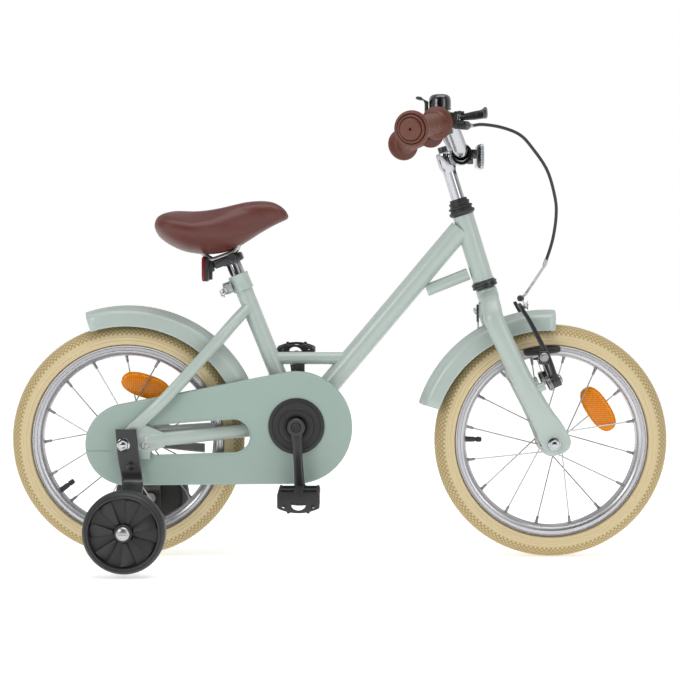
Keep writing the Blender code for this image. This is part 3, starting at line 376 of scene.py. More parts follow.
def through(frames, sides=24, power=2.0):
    """A skin through a row of section frames, made from one circle that is extruded from each to the next."""
    shape = bmesh.new()
    bmesh.ops.create_circle(shape, cap_ends=False, segments=sides, radius=1.0)
    squared(shape, power)
    bmesh.ops.transform(shape, matrix=frames[0], verts=shape.verts)
    edges = shape.edges[:]
    for before, after in zip(frames, frames[1:]):
        grown = bmesh.ops.extrude_edge_only(shape, edges=edges)["geom"]
        dots = [part for part in grown if isinstance(part, bmesh.types.BMVert)]
        edges = [part for part in grown if isinstance(part, bmesh.types.BMEdge)]
        bmesh.ops.transform(shape, matrix=after @ before.inverted(), verts=dots)
    bmesh.ops.holes_fill(shape, edges=[edge for edge in shape.edges if edge.is_boundary], sides=0)
    return tidied(shape)


def swept(path, size, sides=24, power=2.0, first=None):
    """A tube along a path. size is a radius, or one (first, second) pair for each point."""
    path = [Vector(point) for point in path]
    frames = []
    lead = Vector(first) if first is not None else across_of(path[1] - path[0])[0]
    for i, point in enumerate(path):
        along = (path[min(i + 1, len(path) - 1)] - path[max(i - 1, 0)]).normalized()
        lead = (lead - along * lead.dot(along)).normalized()
        pair = size[i] if isinstance(size, list) else (size, size)
        frames.append(section_frame(point, lead, along.cross(lead), pair))
    return through(frames, sides, power)


def rod(start, end, radius, sides=32, edge=0.0):
    """A round bar with a small round on both of its ends."""
    start, end = Vector(start), Vector(end)
    length = (end - start).length
    profile = [(0, 0), (0, radius), (length, radius), (length, 0)]
    if edge:
        profile = [(0, 0), (0, radius - edge), (edge * 0.3, radius - edge * 0.3), (edge, radius)]
        profile += [(length - along, r) for along, r in reversed(profile)]
    return turned(profile, start, end - start, sides)


def plate(outline, start_y, end_y, edge=0.0, segments=2):
    """A flat plate whose (x, z) outline is extruded across the bike, with rounded rims."""
    shape = bmesh.new()
    face = shape.faces.new([shape.verts.new((x, start_y, z)) for x, z in outline])
    raised = bmesh.ops.extrude_face_region(shape, geom=[face])["geom"]
    moved = [part for part in raised if isinstance(part, bmesh.types.BMVert)]
    bmesh.ops.translate(shape, verts=moved, vec=(0, end_y - start_y, 0))
    tidied(shape)
    if edge:
        rims = [
            e
            for e in shape.edges
            if abs(e.verts[0].co.y - e.verts[1].co.y) < 1e-4 and e.calc_face_angle(0) > 0.7
        ]
        rounded(shape, rims, edge, segments)
    return shape


def rounded(shape, edges, width, segments=2):
    bmesh.ops.bevel(
        shape, geom=edges, offset=width, segments=segments, affect="EDGES", profile=0.5, material=-1,
        clamp_overlap=True,
    )


def block(low, high, edge=0.0, segments=2):
    """A box between two corners, with rounded edges."""
    shape = bmesh.new()
    bmesh.ops.create_cube(shape, size=1.0)
    low, high = Vector(low), Vector(high)
    bmesh.ops.scale(shape, vec=high - low, verts=shape.verts)
    bmesh.ops.translate(shape, vec=(low + high) / 2, verts=shape.verts)
    if edge:
        rounded(shape, shape.edges[:], edge, segments)
    return shape


def placed(shape, spot, first, second, third):
    """The shape turned so that its x, y and z lie along three directions, and moved to a spot."""
    turn = Matrix((first, second, third)).transposed().to_4x4()
    bmesh.ops.transform(shape, matrix=Matrix.Translation(spot) @ turn, verts=shape.verts)
    bmesh.ops.recalc_face_normals(shape, faces=shape.faces)
    return shape


def arc(centre, radius, start_deg, end_deg, count):
    """Points (x, z) along an arc."""
    turns = [math.radians(start_deg + (end_deg - start_deg) * i / (count - 1)) for i in range(count)]
    return [(centre[0] + radius * math.cos(t), centre[1] + radius * math.sin(t)) for t in turns]


def smooth_route(points, step):
    """Points at an even step along a smooth curve through the route's own points."""
    points = [Vector(point) for point in points]
    ends = [points[0] * 2 - points[1], *points, points[-1] * 2 - points[-2]]
    curve = []
    for a, b, c, d in zip(ends, ends[1:], ends[2:], ends[3:]):
        count = max(2, round((c - b).length / step))
        for i in range(count):
            t = i / count
            bend = (2 * a - 5 * b + 4 * c - d) * t**2 + (3 * b - a - 3 * c + d) * t**3
            curve.append(0.5 * (2 * b + (c - a) * t + bend))
    return curve + [points[-1]]


def rounded_path(corners, radius, count=10):
    """A path whose inner corners are replaced by curves of about the radius given."""
    corners = [Vector(corner) for corner in corners]
    path = [corners[0]]
    for before, corner, after in zip(corners, corners[1:], corners[2:]):
        into, out = (before - corner).normalized(), (after - corner).normalized()
        half = into.angle(out) / 2
        reach = min(radius / math.tan(half), (before - corner).length * 0.48, (after - corner).length * 0.48)
        for i in range(count + 1):
            t = i / count
            first, last = corner + into * reach, corner + out * reach
            path.append(first * (1 - t) ** 2 + corner * 2 * t * (1 - t) + last * t**2)
    return path + [corners[-1]]


# %% Joining, cutting and finishing
def helper_object(shape):
    mesh = bpy.data.meshes.new("helper")
    shape.to_mesh(mesh)
    shape.free()
    made = bpy.data.objects.new("helper", mesh)
    scene.collection.objects.link(made)
    return made


def combined(base, tools, operation):
    """The base joined with the tools, or cut by them, as one new shape."""
    helpers = [helper_object(shape) for shape in [base, *tools]]
    for helper in helpers[1:]:
        boolean = helpers[0].modifiers.new("join", "BOOLEAN")
        boolean.operation = operation
        boolean.solver = "EXACT"
        boolean.object = helper
    graph = bpy.context.evaluated_depsgraph_get()
    mesh = bpy.data.meshes.new_from_object(helpers[0].evaluated_get(graph))
    result = bmesh.new()
    result.from_mesh(mesh)
    bpy.data.meshes.remove(mesh)
    for helper in helpers:
        old = helper.data
        bpy.data.objects.remove(helper, do_unlink=True)
        bpy.data.meshes.remove(old)
    bmesh.ops.remove_doubles(result, verts=result.verts, dist=0.002)
    return result


def fuse(base, *tools):
    return combined(base, tools, "UNION")


def cut(base, *tools):
    return combined(base, tools, "DIFFERENCE")


def gathered(*shapes):
    """Several closed shells as one shape, where they only touch or stand apart."""
    whole = bmesh.new()
    for shape in shapes:
        mesh = bpy.data.meshes.new("part")
        shape.to_mesh(mesh)
        shape.free()
        whole.from_mesh(mesh)
        bpy.data.meshes.remove(mesh)
    return whole


def finish_piece(name, shape, finish, body, replaced=(), sharp_deg=32):
    """The named piece in metres, riding on its body and standing for the CAD nodes it replaces."""
    bmesh.ops.scale(shape, vec=(MM, MM, MM), verts=shape.verts)
    mesh = bpy.data.meshes.new(name)
    shape.to_mesh(mesh)
    shape.free()
    mesh.materials.append(finish)
    mesh.shade_smooth()
    mesh.set_sharp_from_angle(angle=math.radians(sharp_deg))
    piece = bpy.data.objects.new(name, mesh)
    scene.collection.objects.link(piece)
    if replaced:
        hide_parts(*replaced)
    if body:
        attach(piece, body)
    print(f"{name}: {len(mesh.polygons)} faces")
    return piece


# %% [markdown]
# ## Tyres
# A balloon tyre is a moulded shell, 47 mm wide. Its tread is a diamond knurl over the crown, its sidewalls
# are smooth with two fine moulded lines, and its beads hook into the rim. The half outline is spun round the
# axle in steps as long as the knurls, and every second corner of the tread then moves out, which turns the
# grid into diamonds. Each corner also keeps a number, called tread, from which the rubber's colour takes a
# painted shade in the low corners between the knurls and a painted highlight on their raised tips. The
# tread's faces are split along their shorter diagonal, so that each knurl is a small pyramid of its own.

# %% Tyres
TREAD_STEPS = 300
TREAD_HALF_DEG = 72
TREAD_ROWS = 16
TREAD_HEIGHT = 1.5


def tyre(name, axle):
    middle = WHEEL_RADIUS - TYRE_ROUND
    edge = RIM_HALF - 2.8
    bead = [
        (edge, RIM_OUTER + 1.5), (edge, RIM_OUTER - 5), (edge - 3, RIM_OUTER - 5), (edge - 3, RIM_OUTER + 2),
    ]
    turns = [-106, -101, -96, -93, -91.5, -90, -86, -81, -79.5, -78, -75]
    turns += [-TREAD_HALF_DEG + 2 * TREAD_HALF_DEG * i / TREAD_ROWS for i in range(TREAD_ROWS + 1)]
    turns += [-turn for turn in reversed(turns[:11])]
    raised = {-91.5: 0.7, 91.5: 0.7, -79.5: 0.6, 79.5: 0.6}
    profile = []
    for turn in turns:
        reach = TYRE_ROUND - TREAD_HEIGHT + raised.get(turn, 0.0)
        angle = math.radians(turn)
        profile.append((reach * math.sin(angle), middle + reach * math.cos(angle)))
    profile += bead
    for turn in (95, 65, 32, 0, -32, -65, -95):
        angle = math.radians(turn)
        profile.append(((TYRE_ROUND - 4) * math.sin(angle), middle + (TYRE_ROUND - 4) * math.cos(angle)))
    profile += [(-y, radius) for y, radius in reversed(bead)]
    shape = turned(profile, axle, ACROSS, TREAD_STEPS, True)
    row_deg = 2 * TREAD_HALF_DEG / TREAD_ROWS
    shade = shape.verts.layers.float.new("tread")
    # tread: 0.75 on the sidewalls; in the knurls 0 at the low corners, a painted shade, and 1 at the raised
    # tips, a painted highlight.
    for vert in shape.verts:
        vert[shade] = 0.75
        offset = vert.co - axle
        radial = math.hypot(offset.x, offset.z)
        section = math.degrees(math.atan2(offset.y, radial - middle))
        outside = math.hypot(offset.y, radial - middle) > TYRE_ROUND - 2
        row = round((section + TREAD_HALF_DEG) / row_deg)
        if outside and 0 < row < TREAD_ROWS:
            vert[shade] = 0.0
            step = round(math.atan2(offset.z, offset.x) / (2 * math.pi) * TREAD_STEPS)
            if (row + step) % 2:
                reach = radial - middle
                out = Vector((offset.x / radial * reach, offset.y, offset.z / radial * reach))
                vert.co += out.normalized() * TREAD_HEIGHT
                vert[shade] = 1.0
    knurled = [face for face in shape.faces if sum(vert[shade] < 0.5 for vert in face.verts) >= 1]
    bmesh.ops.triangulate(shape, faces=knurled, quad_method="SHORT_EDGE", ngon_method="BEAUTY")
    wheel_body = f"{name}_wheel"
    finish_piece(f"{name}_knurled_tyre", shape, CREAM, wheel_body, [f"{name}_tyre"], 60)


tyre("front", FRONT_AXLE)
tyre("rear", REAR_AXLE)

# %% [markdown]
# ## Rims, spokes and hubs
# The rim is a drawn aluminium channel with a rolled edge and ridges on its sidewall. Sixteen spokes cross on
# their way from the hub's two flanges to brass nipples in the rim. They lean the way the photograph shows:
# two spokes out of four lean forward and two back.

# %% Rims
RIM_STEPS = 128


def rim(name, axle):
    half = [
        (0, 126.4), (3, 126.4), (6, 127.2), (9.0, 128.2), (11.8, 130.6), (13.2, 133.0), (13.7, 134.6),
        (13.2, 135.1),
    ]
    half += [
        (13.8, 135.8), (13.8, 139.6), (13.3, 140.1), (14.0, 140.8), (14.2, 142.0), (13.6, 143.0),
        (12.2, 143.2),
    ]
    half += [(11.5, 142.2), (11.5, 135.0), (6, 133.5), (0, 133.0)]
    profile = half + [(-y, radius) for y, radius in reversed(half[1:-1])]
    shape = turned(profile, axle, ACROSS, RIM_STEPS, True)
    finish_piece(
        f"{name}_drawn_rim", shape, RIM_FINISH[name], f"{name}_wheel", [f"{name}_rim"], 28
    )


rim("front", FRONT_AXLE)
rim("rear", REAR_AXLE)


# %% Spokes, nipples and hubs
SPOKE_COUNT = 16
SPOKE_TURN = 39.5
SPOKE_LEANS = (-1, 1, 1, -1)


def eye(angle_deg):
    """A direction in the wheel's plane, clockwise from forward as seen from the rider's right."""
    angle = math.radians(angle_deg)
    return Vector((math.cos(angle), 0, -math.sin(angle)))


def spoked_hub(name, axle, first_angle, hub_profile, flange_y, flange_radius):
    spokes, nipples, heads = [], [], []
    for i in range(SPOKE_COUNT):
        angle = first_angle + 360 / SPOKE_COUNT * i
        side = RIGHT if i % 2 else LEFT
        lean = SPOKE_LEANS[i % 4]
        hole = eye(angle + SPOKE_TURN * lean) * (flange_radius - 3)
        start = axle + hole + ACROSS * side * (flange_y + 1.7 * lean)
        end = axle + eye(angle) * 127.0 + ACROSS * side * 3
        along = (end - start).normalized()
        spokes.append(rod(start, end, 1.0, 10))
        heads.append(
            rod(start - ACROSS * side * lean * 2.5, start + ACROSS * side * lean * 1.2, 1.9, 12, 0.5)
        )
        nipple = [(0, 0), (0, 1.5), (1, 2.0), (9, 2.2), (10, 3.0), (13, 3.2), (13, 0)]
        nipples.append(turned(nipple, end - along * 11, along, 12))
    body = f"{name}_wheel"
    barrel = turned(hub_profile, axle, ACROSS, 48, True)
    finish_piece(f"{name}_spokes", gathered(*spokes, *heads), ZINC, body)
    finish_piece(f"{name}_nipples", gathered(*nipples), NIPPLE, body)
    finish_piece(f"{name}_hub_shell", barrel, ZINC, body, [f"{name}_hub"])


front_hub = [
    (-31, 5.4), (-31, 9), (-30, 10), (-29, 10.5), (-28.8, 20), (-28, 21), (-27, 21), (-26.2, 20), (-25.5, 14),
]
front_hub += [
    (-21, 12.4), (21, 12.4), (25.5, 14), (26.2, 20), (27, 21), (28, 21), (28.8, 20), (29, 10.5), (30, 10),
]
front_hub += [(31, 9), (31, 5.4)]
spoked_hub("front", FRONT_AXLE, 9.2, front_hub, 27.5, 21)
rear_hub = [
    (-33, 5.4), (-33, 14), (-30.2, 14.5), (-29.8, 26), (-29, 27), (-28, 27), (-27.2, 26), (-26, 22),
    (-20, 20.5),
]
rear_hub += [
    (20, 20.5), (26, 22), (27.2, 26), (28, 27), (29, 27), (29.8, 26), (30.2, 17), (35, 16), (36, 14.5),
    (36, 5.4),
]
spoked_hub("rear", REAR_AXLE, 133.5, rear_hub, 28.5, 27)

# %% [markdown]
# ## Axles and nuts
# Each axle ends in a hexagon nut over a washer. The nut starts as a six sided circle that is extruded, and a
# turned washer with a rolled rim sits under it.


# %% Axles
def hex_nut(face, out, across_flats, height):
    """A hexagon nut that stands on a face, chamfered at its outer end."""
    radius = across_flats / 2 / math.cos(math.pi / 6)
    first, second = across_of(out)
    out = Vector(out)
    sizes = [(0, 1.0), (height - 1.2, 1.0), (height, 0.9)]
    frames = [
        section_frame(Vector(face) + out * along, first, second, (radius * k, radius * k))
        for along,
        k in sizes
    ]
    return through(frames, 6)


def axle_set(name, axle, reach, locknut, body):
    parts = [rod(axle - ACROSS * (reach + 11), axle + ACROSS * (reach + 11), 4.6, 24, 0.8)]
    for side in (RIGHT, LEFT):
        out = ACROSS * side
        washer = [(0, 4.0), (0, 9.6), (1.2, 10.0), (2.2, 9.4), (2.6, 8.2), (2.6, 4.0)]
        parts.append(turned(washer, axle + out * (reach - 0.2), out, 40, True))
        parts.append(hex_nut(axle + out * (reach + 2.4), out, 13.5, 6.5))
        inner = 35.0 if name == "front" else 40.0
        cone = [
            (0, 4.0), (0, 7.2), (2, 8.2), (locknut - inner - 1, 8.2), (locknut - inner, 7.4),
            (locknut - inner, 4.0),
        ]
        parts.append(turned(cone, axle + out * inner, out, 32, True))
    finish_piece(f"{name}_axle_and_nuts", gathered(*parts), CHROME, body, [f"{name}_axle"])


axle_set("front", FRONT_AXLE, 56.6, 44.5, "steering")
axle_set("rear", REAR_AXLE, 67.0, 53.5, "frame_body")

# %% [markdown]
# ## Valves and wheel reflectors
# A short black valve stem with a ribbed dust cap points at the axle. An oblong amber reflector is clipped
# between the spokes: a domed lens in a thin rim, held by a moulded clip.

# %% Valves and wheel reflectors
VALVE_ANGLE = {"front": 180.7, "rear": 143.5}
REFLECTOR_ANGLE = {"front": 326.5, "rear": 287.5}
REFLECTOR_REACH = 85.0


def valve(name, axle):
    direction = eye(VALVE_ANGLE[name])
    profile = [
        (103, 0), (103, 2.6), (104, 3.4), (111, 3.6), (111.5, 2.9), (113, 2.9), (113.5, 3.8), (127, 4.2),
    ]
    profile += [(130, 5.2), (134, 5.2), (134, 0)]
    stem = turned(profile, axle, direction, 24)
    ribs = [
        rod(axle + direction * 104 + side * 3.3, axle + direction * 110.5 + side * 3.5, 0.5, 6)
        for side in [direction.cross(ACROSS) * math.cos(t) + ACROSS * math.sin(t) for t in
                     [math.radians(30 * i) for i in range(12)]]
    ]
    finish_piece(
        f"{name}_valve_stem", gathered(stem, *ribs), BLACK, f"{name}_wheel",
        [f"{name}_valve"],
    )


def oval_frames(centre, along, outward, half_length, half_width, rows):
    """Frames of an oval whose size changes with its distance across the bike."""
    return [
        section_frame(centre + ACROSS * y, along, outward, (half_length - inset, half_width - inset))
        for y, inset in rows
    ]


def wheel_reflector(name, axle):
    outward = eye(REFLECTOR_ANGLE[name])
    along = outward.cross(ACROSS)
    centre = axle + outward * REFLECTOR_REACH
    lens_rows = [
        (-6.8, 9), (-6.6, 6), (-6.0, 3.6), (-4.8, 2.2), (-3.6, 1.8), (3.6, 1.8), (4.8, 2.2), (6.0, 3.6),
        (6.6, 6),
    ]
    lens_rows += [(6.8, 9)]
    lens = through(oval_frames(centre, along, outward, 37.0, 17.5, lens_rows), 64, 2.5)
    rim_rows = [(-3.2, 1.2), (-2.6, 0.0), (2.6, 0.0), (3.2, 1.2)]
    band = through(oval_frames(centre, along, outward, 37.0, 17.5, rim_rows), 64, 2.5)
    lines = []
    for k in (-0.42, 0.0, 0.42):
        line = block((-0.5, -6.9, -11.5), (0.5, 6.9, 11.5), 0.3)
        lines.append(placed(line, centre + along * 36 * k, along, ACROSS, outward))
    body = f"{name}_wheel"
    finish_piece(
        f"{name}_amber_lens", gathered(lens, band, *lines), AMBER, body,
        [f"{name}_wheel_reflector"], 30
    )


for wheel_name, wheel_axle in (("front", FRONT_AXLE), ("rear", REAR_AXLE)):
    valve(wheel_name, wheel_axle)
    wheel_reflector(wheel_name, wheel_axle)

# %% [markdown]
# ## Frame
# The frame is welded from steel tube: an oversize down tube, a short seat tube, a level middle tube, a strut
# behind the head tube, and flattened stays that run back to two plate dropouts. Each tube is turned or swept
# at its real size, all are joined into one skin, and then the bores are cut.


# %% Frame tubes
def eased(rows, per_span=6):
    """Rows of numbers with smooth in-between rows."""
    ends = [
        [2 * a - b for a, b in zip(rows[0], rows[1])], *rows, [2 * a - b for a, b in zip(rows[-1], rows[-2])],
    ]
    smooth = []
    for a, b, c, d in zip(ends, ends[1:], ends[2:], ends[3:]):
        for i in range(per_span):
            t = i / per_span
            smooth.append([
                0.5 * (
                    2 * q + (r - p) * t + (2 * p - 5 * q + 4 * r - s) * t**2 + (3 * q - p - 3 * r + s) * t**3
                )
                for p, q, r, s in zip(a, b, c, d)
            ])
    return smooth + [list(rows[-1])]


def stay(rows, side):
    """A stay through rows of (x, y, z, height radius, width radius)."""
    smooth = eased(rows, 6)
    path = [(x, y * side, z) for x, y, z, _, _ in smooth]
    sizes = [(high, wide) for _, _, _, high, wide in smooth]
    lead = across_of(Vector(path[1]) - Vector(path[0]))[0]
    return swept(path, sizes, 24, 2.0, lead)


def weld(centre, axis, radius, bead=1.3):
    """A weld bead round a tube."""
    ring = [
        (bead * math.cos(t), radius + bead * 0.7 * math.sin(t))
        for t in [math.radians(45 * i) for i in range(8)]
    ]
    return turned(ring, centre, axis, 48, True)


def bike_frame():
    down_top = Vector((180.0, 0, 489.2))
    down = (down_top - BRACKET).normalized()
    tubes = [
        rod(HEAD_BOTTOM, HEAD_TOP, 15.5, 64, 0.8),
        rod(on_seat_tube(18), on_seat_tube(236.0), 12.9, 48, 0.5),
        rod(BRACKET + down * 18, down_top, 16.0, 56),
        rod((-106, 0, 296.8), (18, 0, 296.8), 9.3, 40),
        rod((130, 0, 397.8), (192, 0, 422.8), 9.3, 40),
        rod((-176, -32, 334), (-176, 32, 334), 5, 24),
        rod((-120, -22, 193), (-120, 22, 193), 6, 24),
        weld(HEAD_BOTTOM + STEER * 1.2, STEER, 15.6, 1.1),
        weld(HEAD_TOP - STEER * 1.2, STEER, 15.6, 1.1),
    ]
    for side in (RIGHT, LEFT):
        tubes.append(stay([
            (-137, 6, 372, 8.5, 8.5), (-160, 27, 347, 8.5, 8.5), (-188.5, 43, 314, 8.5, 8),
            (-253, 61.5, 243.5, 8.5, 5.5),
            (-290, 59.5, 208, 8.5, 4.5), (-301, 57.6, 197, 9.5, 3.2), (-309, 57, 189, 8.5, 2.6),
        ], side))
        tubes.append(stay([
            (-70, 19, 196, 10, 7), (-122, 25, 192.5, 10, 7), (-262, 56, 180.5, 10, 5.5),
            (-290, 57, 177, 9, 3),
        ], side))
        hook = [(-298, 203), (-286, 203), (-256, 190), (-256, 170), (-277, 163), (-278, 152), (-292, 152)]
        hook += [(-296, 163), (-322, 164), (-327, 174), (-322, 184)]
        tubes.append(plate(hook, 57 * side - 2.5, 57 * side + 2.5, 0.6, 2))
    shell = turned(
        [(-34, 17), (-34, 19.7), (-33.2, 20.5), (33.2, 20.5), (34, 19.7), (34, 17)], BRACKET, ACROSS, 64,
        True,
    )
    whole = fuse(shell, *tubes)
    bores = [
        rod(on_steering(-4), on_steering(106), 13.1, 48),
        rod(on_seat_tube(60), on_seat_tube(241), 11.4, 48),
        rod(BRACKET - ACROSS * 40, BRACKET + ACROSS * 40, 17.0, 64),
        rod(REAR_AXLE - ACROSS * 70, REAR_AXLE + ACROSS * 70, 5.0, 24),
    ]
    finish_piece("welded_frame", cut(whole, *bores), MINT, "frame_body", ["frame"])


bike_frame()

# %% [markdown]
# ## Small fittings on the frame
# A moulded clip holds the chain guard under the middle tube, and a silver bolt with a hexagon socket sits in
# the eyelet of each dropout.


# %% Bolts and clips
def bolt_head(face, out, radius, height):
    """A button head with a hexagon socket."""
    profile = [
        (0, 0), (0, radius), (height * 0.45, radius), (height * 0.8, radius * 0.85), (height, radius * 0.6),
    ]
    profile += [(height, radius * 0.42), (height * 0.4, radius * 0.42), (height * 0.4, 0)]
    return turned(profile, Vector(face), out, 32)


near = -ACROSS
bolts = [bolt_head((-285.5, -59.4, 172), near, 5.5, 3.4), bolt_head((-285.5, 59.4, 172), ACROSS, 5.5, 3.4)]
finish_piece("dropout_bolts", gathered(*bolts), ZINC, "frame_body")
clip = fuse(
    block((-66, -9, 272), (-52, 9, 288.5), 1.5),
    block((-70, -7, 280), (-58, 7, 287), 1.5),
)
finish_piece("guard_clip", clip, BLACK, "frame_body")

# %% [markdown]
# ## Headset
# The lower cup is pressed into the head tube and shows two black rings. The upper one is hidden by a ribbed
# rubber boot, whose rings get smaller towards the stem.

# %% Headset
cup = [
    (-11.2, 13.1), (-11.2, 16.8), (-10.6, 18.4), (-9.5, 19.2), (-7.6, 19.2), (-7.0, 18.3), (-6.2, 18.3),
    (-5.6, 19.2),
]
cup += [(-3.2, 19.2), (-2.2, 18.2), (-1.2, 16.8), (-0.3, 16.6), (-0.3, 13.1)]
finish_piece(
    "lower_cup_rings", turned(cup, HEAD_BOTTOM, STEER, 64, True), BLACK_METAL, "frame_body",
    ["headset_lower_cup"],
)
BOOT_FOOT = 102.2
boot = [
    (0, 13.1), (0, 16.5), (2.2, 18.9), (3.0, 19.4), (5.6, 19.4), (6.6, 18.6), (7.0, 16.8), (9.6, 16.4),
    (10.4, 17.6),
]
boot += [
    (11, 18.2), (12.6, 18.2), (13.4, 17.4), (14.0, 15.2), (16.6, 14.7), (17.4, 15.4), (18, 15.7),
    (19.4, 15.7),
]
boot += [
    (20.2, 15.2), (20.8, 13.4), (24, 12.9), (24.8, 12.4), (25, 11.6), (25, 10.1), (16.8, 10.1), (16.8, 13.1),
]
rings = [(BOOT_FOOT + along, radius) for along, radius in boot]
finish_piece(
    "ribbed_headset_boot", turned(rings, HEAD_BOTTOM, STEER, 64, True), BLACK, "steering",
    ["headset_boot"],
)

# %% [markdown]
# ## Fork
# A unicrown fork: the blades curve out of the crown, run straight down, then widen and flatten into tips that
# hold the axle. They are swept from eased stations, so their width changes without a step.


# %% Fork
BRAKE_AXIS = Vector((0.914, 0, 0.406))
BRAKE_UP = Vector((-0.406, 0, 0.914))
FORK_STATIONS = [
    (-23, 0, 6, 11, 13), (-32, -1, 26, 12, 14), (-44, -3, 41, 12, 14.5), (-66, -4, 49, 12, 15),
    (-150, 8, 52, 11, 15.3),
    (-205, 19, 52, 9, 17), (-232, 25, 51.5, 5.5, 20), (-258, 29, 51, 4.6, 21.5), (-270, 29, 51, 4.6, 17),
    (-275, 29, 51, 4.4, 9),
]


def fork():
    parts = [
        turned(
            [
                (-34, 0), (-34, 11), (-33, 13), (-30, 15.2), (-27, 15.8), (-15, 15.8), (-13, 15), (-11.6, 13),
                (-11.5, 0),
            ],
            HEAD_BOTTOM, STEER, 48,
        ),
        block((-7, -1.5, -22), (7, 1.5, 0), 0.5),
    ]
    tab_turn = Matrix((ACROSS, STEER_FORWARD, STEER)).transposed().to_4x4()
    tab_lean = Matrix.Rotation(math.radians(-18), 4, "X")
    place = Matrix.Translation(on_steering(-30, -15.5)) @ tab_turn @ tab_lean
    bmesh.ops.transform(parts[1], matrix=place, verts=parts[1].verts)
    # The three directions mirror the tab, so its faces are turned outwards before it is joined.
    bmesh.ops.recalc_face_normals(parts[1], faces=parts[1].faces)
    for side in (RIGHT, LEFT):
        frames = []
        for along, forward, across, lateral, fore in eased(FORK_STATIONS, 5):
            lean = 0.75 * min(1.0, max(0.0, (along + 50) / 12))
            first = (ACROSS * side + STEER * lean).normalized()
            frames.append(
                section_frame(
                    on_steering(along, forward, across * side), first, STEER_FORWARD, (lateral, fore),
                )
            )
        parts.append(through(frames, 32, 2.3))
        boss = Vector((286, 52 * side, 253))
        parts.append(rod(boss, boss + BRAKE_AXIS * 17, 6.6, 32, 0.5))
    steerer = rod(on_steering(-24), on_steering(118.0), 12.7, 48, 0.5)
    whole = fuse(steerer, *parts)
    bores = [
        rod(on_steering(44), on_steering(123), 10.2, 48),
        rod(FRONT_AXLE - ACROSS * 70, FRONT_AXLE + ACROSS * 70, 5.0, 24),
    ]
    finish_piece("unicrown_fork", cut(whole, *bores), MINT, "steering", ["fork"])


fork()

# %% [markdown]
# ## Chain guard
# A moulded shell in the shape of a teardrop, open towards the wheel. Its outline is extruded and rounded,
# hollowed by a smaller copy of itself, and cut by the long slot, the hole for the crank and the slit where
# its rear end opens.


# %% Chain guard
def guard_outline(grow=0.0):
    rear, front = (-314.0, 172.0, 60.0 + grow), (-64.0, 197.0, 83.0 + grow)
    dx, dz = front[0] - rear[0], front[1] - rear[1]
    lean = math.degrees(math.atan2(dz, dx))
    spread = math.degrees(math.acos((rear[2] - front[2]) / math.hypot(dx, dz)))
    outline = arc(front[:2], front[2], lean - spread, lean + spread, 56)
    return outline + arc(rear[:2], rear[2], lean + spread, lean + 360 - spread, 44)


def guard():
    solid = plate(guard_outline(), -52.0, -31.0, 2.6, 4)
    slot = [(-270, 157.2), (-157, 161)]
    slot += arc((-156, 185.5), 24.5, -86, 86, 24) + [(-160, 210), (-270, 201.5)]
    slot += arc((-270, 194.5), 7, 90, 180, 7)[1:] + arc((-270, 164.2), 7, 180, 270, 7)[:-1]
    lip = plate(grown(slot, 2.2), -52.9, -46.0, 0.8, 2)
    groove = block((-384, -60, 162.8), (-333, -51.0, 163.8))
    openings = [
        plate(guard_outline(-2.0), -50.0, -26.0),
        rod(BRACKET - ACROSS * 57, BRACKET - ACROSS * 44, 36, 64),
        rod(REAR_AXLE - ACROSS * 60, REAR_AXLE - ACROSS * 45, 10, 32),
        groove,
    ]
    shell = cut(solid, *openings)
    shell = cut(fuse(shell, lip), plate(slot, -57.0, -40.0))
    finish_piece("moulded_chain_guard", shell, SAGE, "frame_body", ["chain_guard"])


def grown(outline, distance):
    """The outline moved outwards from its own middle line by a distance."""
    grown_points = []
    count = len(outline)
    area = sum(a[0] * b[1] - b[0] * a[1] for a, b in zip(outline, outline[1:] + outline[:1]))
    turn = 1 if area > 0 else -1
    for i, (x, z) in enumerate(outline):
        before, after = outline[i - 1], outline[(i + 1) % count]
        dx, dz = after[0] - before[0], after[1] - before[1]
        length = math.hypot(dx, dz) or 1.0
        grown_points.append((x + dz / length * distance * turn, z - dx / length * distance * turn))
    return grown_points


guard()
cap = [
    (-49, 14.5), (-49, 35.4), (-52.3, 35.4), (-52.3, 41), (-53.4, 41.4), (-54.4, 40.8), (-55.0, 39),
    (-55.2, 36),
]
cap += [
    (-54.4, 35), (-54.4, 27), (-55.4, 26), (-56.6, 25.2), (-57, 23.6), (-57, 16), (-56.4, 14.8),
    (-55.5, 14.5),
]
finish_piece(
    "crank_hole_cap", turned(cap, BRACKET, ACROSS, 72, True), BLACK, "frame_body",
    ["chain_guard_cap"]
)

# %% [markdown]
# ## Chain, chainring and sprocket
# The chain is a row of half inch links: each is a pair of figure-of-eight plates with two rollers. Inner and
# outer links take turns along the loop. The chainring has 28 teeth and the sprocket 16.

# %% Drive sizes
CHAIN_LINE = -38.0
PITCH = 12.7
CHAINRING_TEETH, SPROCKET_TEETH = 28, 16
CHAINRING_WINDOWS = 5


def pitch_radius(teeth):
    return PITCH / (2 * math.sin(math.pi / teeth))


def toothed(centre, teeth, bore, half):
    """A disc with a round gap for each roller."""
    radius = pitch_radius(teeth)
    step = 2 * math.pi / teeth
    outline = []
    for i in range(teeth):
        for share, reach in ((-0.5, 2.8), (-0.42, 2.8), (-0.27, -1.2), (-0.14, -3.6), (0, -4.1), (0.14, -3.6),
                             (0.27, -1.2), (0.42, 2.8)):
            angle = (i + share) * step
            outline.append(
                (centre.x + (radius + reach) * math.cos(angle), centre.z + (radius + reach) * math.sin(angle))
            )
    disc = plate(outline, CHAIN_LINE - half, CHAIN_LINE + half)
    middle = Vector((centre.x, CHAIN_LINE, centre.z))
    return cut(disc, rod(middle - ACROSS * 9, middle + ACROSS * 9, bore, 48))


